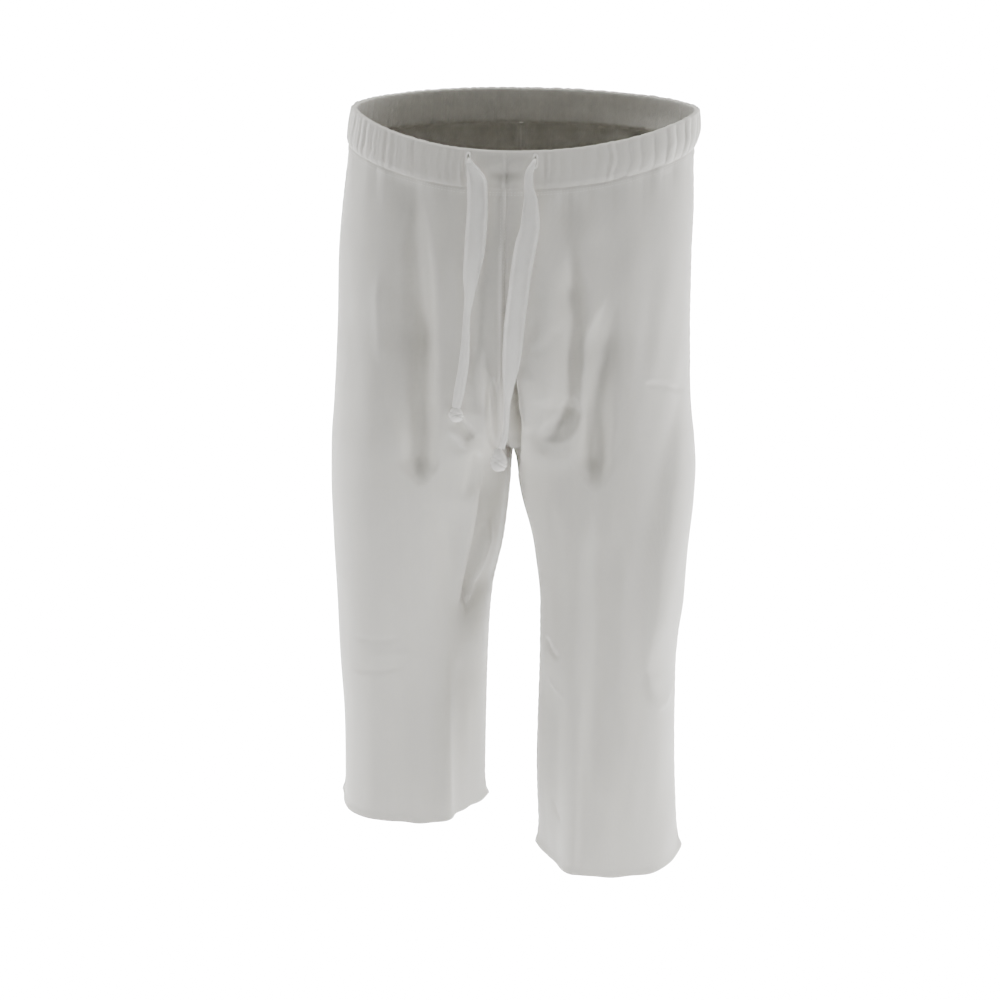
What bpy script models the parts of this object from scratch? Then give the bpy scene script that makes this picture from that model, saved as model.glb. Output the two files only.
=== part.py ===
"""Capri trousers in the hollow form they take when worn: four leg panels, a gathered waistband and the
two free ends of a flat drawstring, each ending in a knot. Metres, +Z up, the front faces -Y and the wearer's
right is -X. The origin is the centre of the waist opening, level with the waistband's top edge at the sides.

Every horizontal section of a leg is a superellipse with an outer edge, an inner edge, a front and a back.
Above the crotch the inner edge would lie past the centre plane, so the section is cut off there, which draws
the centre-front seam, the crotch curve and the centre-back seam. Below it the section closes round the leg.
"""

from typing import NamedTuple

import bpy
import numpy as np

# Driving dimensions
CLOTH = 0.0018  # jersey panel wall
BAND_WALL = 0.0040  # two layers of jersey with the elastic between them
BAND_HEIGHT = 0.036
FRONT_DIP = 0.028  # how far the waist edge drops from the sides to the centre front
BACK_RISE = 0.004  # how far it rises from the sides to the centre back
DIP_FADES_AT = -0.25  # height below which sections are level again
SEAM_GAP = 0.0003
SEAM_FADE = 0.45  # angle from a seam, in radians, over which folds die away
HEM = -0.757
HIP = -0.205  # height where the sections start to part
FORK = -0.310  # height where the crotch curve starts to turn under
CROTCH = -0.352

BUTTONHOLES = {"right": -0.036, "left": 0.028}  # x of each slot
BUTTONHOLE_DROP = 0.010  # slot centre below the waistband's top edge
BUTTONHOLE_TALL = 0.013
BUTTONHOLE_WIDE = 0.0036
TAPE_WALL = 0.0020
KNOT_RADIUS = {"right": (0.0062, 0.0046, 0.0068), "left": (0.0080, 0.0060, 0.0115)}
KNOT_RISE = {"right": -0.0003, "left": 0.0003}  # its top from the end of the tape
KNOT_SHIFT = {"right": 0.0, "left": -0.0030}  # how far the knot hangs to one side of its tape's end

# Grid of each solid
PANEL_COLUMNS = 16
TORSO_ROWS = 9
CROTCH_ROWS = 4
LEG_ROWS = 13
BAND_COLUMNS = 64
BAND_ROWS = 2
TAPE_STEPS = 2  # between two of the route's points


class Section(NamedTuple):
    """One level: each side's outer edge and inner edge from the centre plane (inner is negative where the
    section is cut off there), the depth in front and behind, how square it is, and each leg's stride in y."""

    z: float
    outer_r: float
    inner_r: float
    outer_l: float
    inner_l: float
    front: float
    back: float
    square: float
    stride_r: float
    stride_l: float


SECTIONS = (
    Section(0.000, 0.159, -0.159, 0.182, -0.182, 0.088, 0.096, 2.10, 0.000, 0.000),
    Section(-0.018, 0.162, -0.162, 0.183, -0.183, 0.090, 0.098, 2.10, 0.000, 0.000),
    Section(-0.040, 0.165, -0.165, 0.179, -0.179, 0.092, 0.101, 2.10, 0.000, 0.000),
    Section(-0.095, 0.172, -0.172, 0.180, -0.180, 0.100, 0.116, 2.15, 0.000, 0.000),
    Section(-0.150, 0.177, -0.177, 0.179, -0.179, 0.105, 0.127, 2.20, 0.000, 0.000),
    Section(-0.205, 0.179, -0.172, 0.179, -0.172, 0.107, 0.130, 2.20, 0.000, 0.000),
    Section(-0.245, 0.181, -0.124, 0.180, -0.124, 0.107, 0.126, 2.25, 0.000, 0.000),
    Section(-0.280, 0.183, -0.072, 0.181, -0.072, 0.105, 0.119, 2.25, 0.000, 0.000),
    Section(-0.310, 0.185, -0.034, 0.182, -0.034, 0.102, 0.113, 2.25, 0.000, 0.000),
    Section(-0.333, 0.187, -0.011, 0.183, -0.011, 0.100, 0.108, 2.30, 0.001, -0.001),
    Section(-0.352, 0.188, 0.0002, 0.183, 0.0002, 0.098, 0.105, 2.30, 0.002, -0.003),
    Section(-0.395, 0.189, 0.0040, 0.183, 0.0100, 0.095, 0.099, 2.35, 0.004, -0.010),
    Section(-0.450, 0.188, 0.0105, 0.180, 0.0250, 0.090, 0.093, 2.40, 0.007, -0.022),
    Section(-0.510, 0.186, 0.0230, 0.177, 0.0320, 0.085, 0.087, 2.45, 0.010, -0.036),
    Section(-0.575, 0.185, 0.0280, 0.173, 0.0320, 0.081, 0.083, 2.50, 0.014, -0.051),
    Section(-0.660, 0.182, 0.0310, 0.174, 0.0310, 0.078, 0.080, 2.50, 0.018, -0.070),
    Section(-0.757, 0.184, 0.0340, 0.179, 0.0360, 0.077, 0.079, 2.50, 0.022, -0.090),
)


class Fold(NamedTuple):
    """A soft trough (negative depth) or ridge in one panel, along a straight line seen from the front."""

    panel: str
    top_x: float
    top_z: float
    low_x: float
    low_z: float
    half_width: float
    depth: float


FOLDS = (
    Fold("front_right", -0.084, -0.130, -0.082, -0.345, 0.016, -0.0070),
    Fold("front_right", -0.058, -0.380, -0.040, -0.540, 0.016, -0.0060),
    Fold("front_right", -0.044, -0.540, -0.044, -0.757, 0.017, -0.0110),
    Fold("front_left", 0.066, -0.185, 0.074, -0.330, 0.013, -0.0060),
    Fold("front_left", 0.102, -0.200, 0.084, -0.365, 0.013, -0.0050),
    Fold("front_left", 0.094, -0.400, 0.094, -0.690, 0.020, -0.0050),
    Fold("front_left", 0.142, -0.440, 0.146, -0.757, 0.026, -0.0120),
    Fold("front_left", 0.046, -0.540, 0.046, -0.757, 0.016, -0.0100),
    Fold("back_right", -0.090, -0.300, -0.076, -0.430, 0.022, -0.0070),
    Fold("back_right", -0.120, -0.500, -0.112, -0.757, 0.024, -0.0050),
    Fold("back_left", 0.098, -0.290, 0.084, -0.440, 0.020, -0.0065),
    Fold("back_left", 0.112, -0.520, 0.104, -0.720, 0.020, -0.0055),
)


class TapePoint(NamedTuple):
    """A point on a drawstring's centre line, and how wide the tape shows there."""

    x: float
    y: float
    z: float
    width: float


TAPES = {
    "right": (
        TapePoint(-0.0360, -0.0880, -0.0360, 0.0026),
        TapePoint(-0.0360, -0.0906, -0.0360, 0.0026),
        TapePoint(-0.0360, -0.0940, -0.0365, 0.0100),
        TapePoint(-0.0340, -0.0962, -0.0410, 0.0160),
        TapePoint(-0.0300, -0.0966, -0.0480, 0.0190),
        TapePoint(-0.0270, -0.0970, -0.0590, 0.0200),
        TapePoint(-0.0270, -0.0985, -0.0790, 0.0200),
        TapePoint(-0.0280, -0.1020, -0.1040, 0.0200),
        TapePoint(-0.0300, -0.1050, -0.1260, 0.0190),
        TapePoint(-0.0330, -0.1070, -0.1460, 0.0160),
        TapePoint(-0.0350, -0.1085, -0.1700, 0.0100),
        TapePoint(-0.0370, -0.1095, -0.1890, 0.0070),
        TapePoint(-0.0380, -0.1100, -0.2100, 0.0080),
        TapePoint(-0.0400, -0.1105, -0.2360, 0.0100),
        TapePoint(-0.0440, -0.1110, -0.2610, 0.0100),
        TapePoint(-0.0475, -0.1110, -0.2800, 0.0090),
    ),
    "left": (
        TapePoint(0.0280, -0.0880, -0.0360, 0.0026),
        TapePoint(0.0280, -0.0910, -0.0360, 0.0026),
        TapePoint(0.0280, -0.0940, -0.0365, 0.0065),
        TapePoint(0.0265, -0.0962, -0.0410, 0.0070),
        TapePoint(0.0240, -0.0966, -0.0480, 0.0080),
        TapePoint(0.0240, -0.0972, -0.0590, 0.0100),
        TapePoint(0.0265, -0.0985, -0.0750, 0.0160),
        TapePoint(0.0250, -0.1015, -0.0960, 0.0190),
        TapePoint(0.0200, -0.1050, -0.1200, 0.0210),
        TapePoint(0.0160, -0.1075, -0.1440, 0.0200),
        TapePoint(0.0130, -0.1095, -0.1690, 0.0200),
        TapePoint(0.0100, -0.1105, -0.1940, 0.0200),
        TapePoint(0.0080, -0.1110, -0.2190, 0.0190),
        TapePoint(0.0060, -0.1110, -0.2390, 0.0160),
        TapePoint(0.0040, -0.1105, -0.2600, 0.0100),
        TapePoint(0.0025, -0.1100, -0.2800, 0.0060),
        TapePoint(0.0015, -0.1090, -0.3010, 0.0050),
        TapePoint(-0.0025, -0.1080, -0.3220, 0.0060),
    ),
}

COLLECTION = "capri_trousers"
JERSEY = (0.80, 0.80, 0.785, 1.0)
BAND_JERSEY = (0.79, 0.79, 0.775, 1.0)
TAPE_COTTON = (0.83, 0.83, 0.815, 1.0)


def follow(stations, values, at):
    """A smooth curve through the values: cubic Hermite spans whose slope at each station is the harmonic mean
    of the slopes beside it, or none where they turn, so that it never overshoots."""
    stations = np.asarray(stations, float)
    values = np.asarray(values, float)
    at = np.asarray(at, float)
    rise = np.diff(values) / np.diff(stations)
    before, after = rise[:-1], rise[1:]
    same = before * after > 0
    slope = np.concatenate(([rise[0]], np.zeros(len(before)), [rise[-1]]))
    inner = slope[1:-1]
    inner[same] = 2 * before[same] * after[same] / (before[same] + after[same])
    k = np.clip(np.searchsorted(stations, at, side="right") - 1, 0, len(rise) - 1)
    span = stations[k + 1] - stations[k]
    t = (at - stations[k]) / span
    start = (1 + 2 * t) * (1 - t) ** 2 * values[k] + t * (1 - t) ** 2 * span * slope[k]
    end = t**2 * (3 - 2 * t) * values[k + 1] - t**2 * (1 - t) * span * slope[k + 1]
    return start + end


def smooth_step(t):
    """0 below 0, 1 above 1, and the cubic 3t^2 - 2t^3 between."""
    t = np.clip(t, 0.0, 1.0)
    return t * t * (3 - 2 * t)


def column(name, z):
    """One column of the section table, read at the heights z."""
    stations = [-row.z for row in SECTIONS]
    return follow(stations, [getattr(row, name) for row in SECTIONS], -z)


def leg_section(side, z):
    """Centre x, half width, front depth, back depth, squareness and centre y of one side's section, with x
    counted outwards from the centre plane."""
    suffix = "r" if side == "right" else "l"
    outer = column("outer_" + suffix, z)
    inner = column("inner_" + suffix, z)
    middle = (outer + inner) / 2
    half = (outer - inner) / 2
    return (
        middle,
        half,
        column("front", z),
        column("back", z),
        column("square", z),
        column("stride_" + suffix, z),
    )


def end_angle(side, z, gap):
    """The angle, from the side seam round to the centre plane or the inseam, where a panel ends."""
    middle, half, _, _, square, _ = leg_section(side, z)
    cosine = np.clip((gap / 2 - middle) / half, -1.0, 1.0)
    return np.arctan2((1 - np.abs(cosine) ** square) ** (1 / square), cosine)


def waist_shift(sine, z):
    """How far a point is lowered or raised by the dip of the waist, fading out down the panel."""
    fade = smooth_step((z - DIP_FADES_AT) / (-BAND_HEIGHT - DIP_FADES_AT))
    tilt = np.where(sine < 0, -FRONT_DIP, BACK_RISE)
    return tilt * sine**2 * fade


def bare_point(side, angle, z, face):
    """A point of the section at this angle from the side seam, without folds. face is -1 in front."""
    middle, half, front, back, square, stride = leg_section(side, z)
    cosine, sine = np.cos(angle), np.sin(angle)
    radius = (np.abs(cosine) ** square + np.abs(sine) ** square) ** (-1 / square)
    outward = -1.0 if side == "right" else 1.0
    depth = np.where(face < 0, front, back)
    x = outward * (middle + half * radius * cosine)
    y = stride + face * depth * radius * sine
    return np.stack([x, y, z + waist_shift(face * radius * np.abs(sine), z)], axis=-1)


def fold_height(panel, angle, x, z):
    """The sum of the panel's folds: each a bell across its line, fading smoothly at both ends and towards the
    side seam and the inseam."""
    total = np.zeros(np.broadcast(x, z).shape)
    for fold in FOLDS:
        if fold.panel != panel:
            continue
        along = (fold.top_z - z) / (fold.top_z - fold.low_z)
        line = fold.top_x + (fold.low_x - fold.top_x) * along
        across = np.exp(-(((x - line) / fold.half_width) ** 2))
        if fold.low_z <= HEM:
            ends = smooth_step(along / 0.3)
        else:
            ends = smooth_step(along / 0.3) * smooth_step((1 - along) / 0.3)
        total = total + fold.depth * across * ends
    return total * smooth_step(angle / SEAM_FADE) * smooth_step((np.pi - angle) / SEAM_FADE)


def unit(vectors):
    return vectors / np.linalg.norm(vectors, axis=-1, keepdims=True)


def panel_point(panel, angle, z, inset=0.0):
    """A point of a panel's outer face with its folds, or that far inside it, along the section's normal."""
    where, side = panel.split("_")
    face = -1.0 if where == "front" else 1.0
    outward = -1.0 if side == "right" else 1.0
    step = 1e-4
    bare = bare_point(side, angle, z, face)
    along = bare_point(side, angle + step, z, face) - bare_point(side, angle - step, z, face)
    down = bare_point(side, angle, z - step, face) - bare_point(side, angle, z + step, face)
    normal = unit(np.cross(along, down)) * -outward * face
    height = fold_height(panel, angle, bare[..., 0], bare[..., 2])
    return bare + normal * (height - inset)[..., None]


def panel_rows():
    """The heights of a panel's rows, closer together where the crotch curve turns under."""
    torso = np.linspace(-BAND_HEIGHT - SEAM_GAP, FORK, TORSO_ROWS + 1)
    turn = np.linspace(FORK, CROTCH, CROTCH_ROWS + 1)[1:]
    leg = np.linspace(CROTCH, HEM, LEG_ROWS + 1)[1:]
    return np.concatenate([torso, turn, leg])


def panel_skins(panel):
    """The outer and inner points of a panel, row by row from the waist, side seam to centre or inseam. The
    middle column swings evenly from an eighth to a quarter of the way round between the hip and the crotch,
    and the others follow it, so that no row slides far along the one above."""
    side = panel.split("_")[1]
    z = panel_rows()[:, None]
    side_gap = SEAM_GAP / 2 / column("front", z)
    last = end_angle(side, z, SEAM_GAP)
    closed = last > np.pi - side_gap
    last = np.where(closed, np.pi - side_gap, last)
    share = np.linspace(0, 1, PANEL_COLUMNS + 1)[None, :]
    middle_angle = np.pi / 4 * (1 + smooth_step((HIP - z) / (HIP - CROTCH)))
    power = np.log(middle_angle / last) / np.log(0.5)
    angle = side_gap + (last - side_gap) * share**power
    z = np.broadcast_to(z, angle.shape)
    return panel_point(panel, angle, z), panel_point(panel, angle, z, CLOTH)


def wall_mesh(name, outer, inner):
    """A closed wall between two grids of points: both skins and the four rims."""
    rows, columns = outer.shape[:2]
    points = np.concatenate([outer.reshape(-1, 3), inner.reshape(-1, 3)])
    number = np.arange(rows * columns).reshape(rows, columns)
    other = number + rows * columns
    skin = np.stack([number[:-1, :-1], number[1:, :-1], number[1:, 1:], number[:-1, 1:]], axis=-1)
    back = np.stack([other[:-1, :-1], other[:-1, 1:], other[1:, 1:], other[1:, :-1]], axis=-1)
    top = np.stack([number[0, :-1], number[0, 1:], other[0, 1:], other[0, :-1]], axis=-1)
    low = np.stack([number[-1, :-1], other[-1, :-1], other[-1, 1:], number[-1, 1:]], axis=-1)
    first = np.stack([number[:-1, 0], other[:-1, 0], other[1:, 0], number[1:, 0]], axis=-1)
    final = np.stack([number[:-1, -1], number[1:, -1], other[1:, -1], other[:-1, -1]], axis=-1)
    faces = [skin.reshape(-1, 4), back.reshape(-1, 4), top, low, first, final]
    mesh = bpy.data.meshes.new(name)
    mesh.from_pydata(points.tolist(), [], np.concatenate(faces).tolist())
    return mesh


def face_outwards(mesh):
    """Turns every face over if the closed mesh holds a negative volume."""
    mesh.calc_loop_triangles()
    points = np.array([vertex.co for vertex in mesh.vertices])
    corners = points[np.array([triangle.vertices for triangle in mesh.loop_triangles])]
    volume = np.einsum("ij,ij->i", corners[:, 0], np.cross(corners[:, 1], corners[:, 2])).sum()
    if volume < 0:
        mesh.flip_normals()


def add_piece(name, mesh, material, collection):
    """An object of this mesh, smooth but for its rims, with its material, in the collection."""
    face_outwards(mesh)
    mesh.shade_smooth()
    mesh.set_sharp_from_angle(angle=np.radians(50))
    mesh.materials.append(material)
    piece = bpy.data.objects.new(name, mesh)
    collection.objects.link(piece)
    return piece


def make_material(name, colour, roughness):
    material = bpy.data.materials.new(name)
    material.use_nodes = True
    shader = material.node_tree.nodes["Principled BSDF"]
    shader.inputs["Base Color"].default_value = colour
    shader.inputs["Roughness"].default_value = roughness
    shader.inputs["Metallic"].default_value = 0.0
    return material


def band_skins():
    """The waistband's points, round from one side of the centre-front seam to the other."""
    z = np.linspace(0.0, -BAND_HEIGHT, BAND_ROWS + 1)[:, None]
    quarter = BAND_COLUMNS // 4
    skins = []
    for inset in (-BAND_WALL / 4, BAND_WALL * 3 / 4):
        parts = []
        for side, front_first in (("right", True), ("left", False)):
            end = end_angle(side, z, SEAM_GAP)
            front = end * np.linspace(1, 0, quarter + 1)[None, :]
            back = np.pi / 2 * np.linspace(0, 1, quarter + 1)[None, :]
            height = np.broadcast_to(z, front.shape)
            before = panel_point("front_" + side, front, height, inset)
            behind = panel_point("back_" + side, back, height, inset)
            half = np.concatenate([before, behind[:, 1:]], axis=1)
            parts.append(half if front_first else half[:, ::-1][:, 1:])
        skins.append(np.concatenate(parts, axis=1))
    return skins


def tape_path(side):
    """A smooth centre line and width, read a few times between each two of the tape's own points."""
    table = np.array(TAPES[side])
    run = np.concatenate([[0], np.cumsum(np.linalg.norm(np.diff(table[:, :3], axis=0), axis=1))])
    last = len(run) - 1
    at = np.interp(np.linspace(0, last, TAPE_STEPS * last + 1), np.arange(last + 1), run)
    return np.stack([follow(run, table[:, k], at) for k in range(4)], axis=-1)


def tape_skins(side):
    """The tape's front and back faces: a flat strip to both sides of the centre line, its width across X."""
    path = tape_path(side)
    centre, width = path[:, :3], path[:, 3:]
    along = unit(np.gradient(centre, axis=0))
    across = unit(np.array([1.0, 0.0, 0.0]) - along * along[:, :1])
    facing = np.cross(across, along)
    edges = np.linspace(-0.5, 0.5, 3)[None, :, None]
    strip = centre[:, None] + across[:, None] * width[:, None] * edges
    lift = facing[:, None] * TAPE_WALL / 2
    return strip + lift, strip - lift


def cut_buttonholes(band, cutters):
    """Two upright slots through the front of the waistband, where the drawstring comes out."""
    for side, x in BUTTONHOLES.items():
        centre = (x, -SECTIONS[0].front, -FRONT_DIP - BUTTONHOLE_DROP)
        bpy.ops.mesh.primitive_cube_add(size=1.0, location=centre)
        cutter = bpy.context.object
        cutter.name = "buttonhole_cutter_" + side
        cutter.scale = (BUTTONHOLE_WIDE, BAND_WALL * 6, BUTTONHOLE_TALL)
        cutter.display_type = "WIRE"
        cutter.hide_render = True
        for holder in list(cutter.users_collection):
            holder.objects.unlink(cutter)
        cutters.objects.link(cutter)
        slot = band.modifiers.new("buttonhole_" + side, "BOOLEAN")
        slot.operation = "DIFFERENCE"
        slot.object = cutter


def add_knot(side, material, collection):
    """A rounded knot hanging just under the end of its tape."""
    end = TAPES[side][-1]
    radius = KNOT_RADIUS[side]
    centre = (end.x + KNOT_SHIFT[side], end.y, end.z - radius[2] + KNOT_RISE[side])
    bpy.ops.mesh.primitive_uv_sphere_add(segments=14, ring_count=9, radius=1.0, location=centre)
    knot = bpy.context.object
    knot.name = "knot_" + side
    knot.data.name = knot.name
    knot.scale = radius
    knot.data.shade_smooth()
    knot.data.materials.append(material)
    for holder in list(knot.users_collection):
        holder.objects.unlink(knot)
    collection.objects.link(knot)
    return knot


def clear_scene():
    for old in list(bpy.data.objects):
        bpy.data.objects.remove(old, do_unlink=True)


def new_collection(name):
    collection = bpy.data.collections.new(name)
    bpy.context.scene.collection.children.link(collection)
    return collection


def main():
    clear_scene()
    garment = new_collection(COLLECTION)
    cutters = new_collection("cutters")
    tie_cloth = make_material("drawstring_cotton", TAPE_COTTON, 0.85)
    for panel in ("front_right", "front_left", "back_right", "back_left"):
        jersey = make_material(panel + "_jersey", JERSEY, 0.9)
        add_piece(panel, wall_mesh(panel, *panel_skins(panel)), jersey, garment)
    band = add_piece(
        "waistband",
        wall_mesh("waistband", *band_skins()),
        make_material("waistband_jersey", BAND_JERSEY, 0.9),
        garment,
    )
    cut_buttonholes(band, cutters)
    for side in TAPES:
        tape = wall_mesh("drawstring_" + side, *tape_skins(side))
        add_piece("drawstring_" + side, tape, tie_cloth, garment)
        add_knot(side, tie_cloth, garment)


main()
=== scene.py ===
"""Capri trousers in their worn form: cloth panels, a gathered waistband, a flat drawstring with two knots,
their stitches, a pale floor, soft lights and a camera. Metres, +Z up, the front faces -Y, and the wearer's
right is -X. The tables of folds, creases, tapes and knots are in millimetres.

Every level of a leg is a superellipse; above the crotch it is cut off at the centre plane, which draws the
centre seams. Folds and gathers are heights added along the surface's own normal.
"""

from typing import NamedTuple

import bpy
import numpy as np
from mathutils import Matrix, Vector


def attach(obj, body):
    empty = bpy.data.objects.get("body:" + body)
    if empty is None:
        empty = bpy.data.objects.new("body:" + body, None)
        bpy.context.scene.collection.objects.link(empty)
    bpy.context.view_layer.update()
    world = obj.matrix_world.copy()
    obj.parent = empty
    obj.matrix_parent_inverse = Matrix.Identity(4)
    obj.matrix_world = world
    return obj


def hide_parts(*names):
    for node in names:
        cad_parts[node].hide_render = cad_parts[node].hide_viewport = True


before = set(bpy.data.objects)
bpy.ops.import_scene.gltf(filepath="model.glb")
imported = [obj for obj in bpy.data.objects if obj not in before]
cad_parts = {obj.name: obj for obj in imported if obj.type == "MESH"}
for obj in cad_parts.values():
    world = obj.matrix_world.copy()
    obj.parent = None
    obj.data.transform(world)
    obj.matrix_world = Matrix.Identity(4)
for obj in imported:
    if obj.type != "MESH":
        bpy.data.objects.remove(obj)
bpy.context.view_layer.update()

bl_info = {
    "name": "Capri Trousers",
    "version": (1, 0, 0),
    "blender": (4, 5, 0),
    "location": "View3D > Sidebar > Capri",
    "description": "Makes worn jersey capri trousers with a gathered waistband and a knotted drawstring",
    "category": "Add Mesh",
}

MM = 0.001

# Sizes of the solids that the cloth follows
BAND_WALL = 0.0040
BAND_HEIGHT = 0.036
FRONT_DIP = 0.028
BACK_RISE = 0.004
DIP_FADES_AT = -0.25
SEAM_FADE = 0.45
HEM = -0.757
HIP = -0.205
FORK = -0.310
CROTCH = -0.352
SLOTS = {"right": -0.036, "left": 0.028}
SLOT_DROP = 0.010
FLAT_FRONT = (-0.0445, 0.0400)  # x of the ends of the waistband's ungathered stretch

# What the cloth adds to them
GATHER = 0.0011  # height of the panels' gathers below the waistband
FELLED_AT = -0.0034  # x of the felled centre-front seam
FELLED_RISE = 0.0010
HEM_ROLL = 0.0020
HEM_FLARE = 0.0030
PUFF = 0.0022  # height of the waistband's wide gathers
FINE_PUFF = 0.0010
DENT = 0.0044  # depth of the soft dent in the waistband's centre


class Section(NamedTuple):
    """One level: each side's outer and inner edge from the centre plane (inner is negative where the
    section is cut off there), depth in front and behind, squareness, and each leg's stride in y."""

    z: float
    outer_r: float
    inner_r: float
    outer_l: float
    inner_l: float
    front: float
    back: float
    square: float
    stride_r: float
    stride_l: float


SECTIONS = (
    Section(0.000, 0.159, -0.159, 0.182, -0.182, 0.088, 0.096, 2.10, 0.000, 0.000),
    Section(-0.018, 0.162, -0.162, 0.183, -0.183, 0.090, 0.098, 2.10, 0.000, 0.000),
    Section(-0.040, 0.165, -0.165, 0.179, -0.179, 0.092, 0.101, 2.10, 0.000, 0.000),
    Section(-0.095, 0.172, -0.172, 0.180, -0.180, 0.100, 0.116, 2.15, 0.000, 0.000),
    Section(-0.150, 0.177, -0.177, 0.179, -0.179, 0.105, 0.127, 2.20, 0.000, 0.000),
    Section(-0.205, 0.179, -0.172, 0.179, -0.172, 0.107, 0.130, 2.20, 0.000, 0.000),
    Section(-0.245, 0.181, -0.124, 0.180, -0.124, 0.107, 0.126, 2.25, 0.000, 0.000),
    Section(-0.280, 0.183, -0.072, 0.181, -0.072, 0.105, 0.119, 2.25, 0.000, 0.000),
    Section(-0.310, 0.185, -0.034, 0.182, -0.034, 0.102, 0.113, 2.25, 0.000, 0.000),
    Section(-0.333, 0.187, -0.011, 0.183, -0.011, 0.100, 0.108, 2.30, 0.001, -0.001),
    Section(-0.352, 0.188, 0.0002, 0.183, 0.0002, 0.098, 0.105, 2.30, 0.002, -0.003),
    Section(-0.395, 0.189, 0.0040, 0.183, 0.0100, 0.095, 0.099, 2.35, 0.004, -0.010),
    Section(-0.450, 0.188, 0.0105, 0.180, 0.0250, 0.090, 0.093, 2.40, 0.007, -0.022),
    Section(-0.510, 0.186, 0.0230, 0.177, 0.0320, 0.085, 0.087, 2.45, 0.010, -0.036),
    Section(-0.575, 0.185, 0.0280, 0.173, 0.0320, 0.081, 0.083, 2.50, 0.014, -0.051),
    Section(-0.660, 0.182, 0.0310, 0.174, 0.0310, 0.078, 0.080, 2.50, 0.018, -0.070),
    Section(-0.757, 0.184, 0.0340, 0.179, 0.0360, 0.077, 0.079, 2.50, 0.022, -0.090),
)


class Fold(NamedTuple):
    """A broad soft trough that the solid has too, along a straight line seen from the front, in mm."""

    panel: str
    top_x: float
    top_z: float
    low_x: float
    low_z: float
    half_width: float
    depth: float


FOLDS = (
    Fold("front_right", -84, -130, -82, -345, 16, -7),
    Fold("front_right", -58, -380, -40, -540, 16, -6),
    Fold("front_right", -44, -540, -44, -757, 17, -11),
    Fold("front_left", 66, -185, 74, -330, 13, -6),
    Fold("front_left", 102, -200, 84, -365, 13, -5),
    Fold("front_left", 94, -400, 94, -690, 20, -5),
    Fold("front_left", 142, -440, 146, -757, 26, -4),
    Fold("front_left", 46, -540, 46, -757, 16, -10),
    Fold("back_right", -90, -300, -76, -430, 22, -7),
    Fold("back_right", -120, -500, -112, -757, 24, -5),
    Fold("back_left", 98, -290, 84, -440, 20, -6.5),
    Fold("back_left", 112, -520, 104, -720, 20, -5.5),
)


class Crease(NamedTuple):
    """A finer crease, in mm, along a bent line of (x, z) points. left and right are its half widths on
    the two sides of the line, right towards +x where it runs down, so that one side can be crisp; height
    is positive for a ridge. flat gives it a level bottom and steep walls; fade is the share of the line
    over which its end runs out."""

    line: tuple
    left: float
    right: float
    height: float
    flat: bool = False
    fade: float = 0.20


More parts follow.
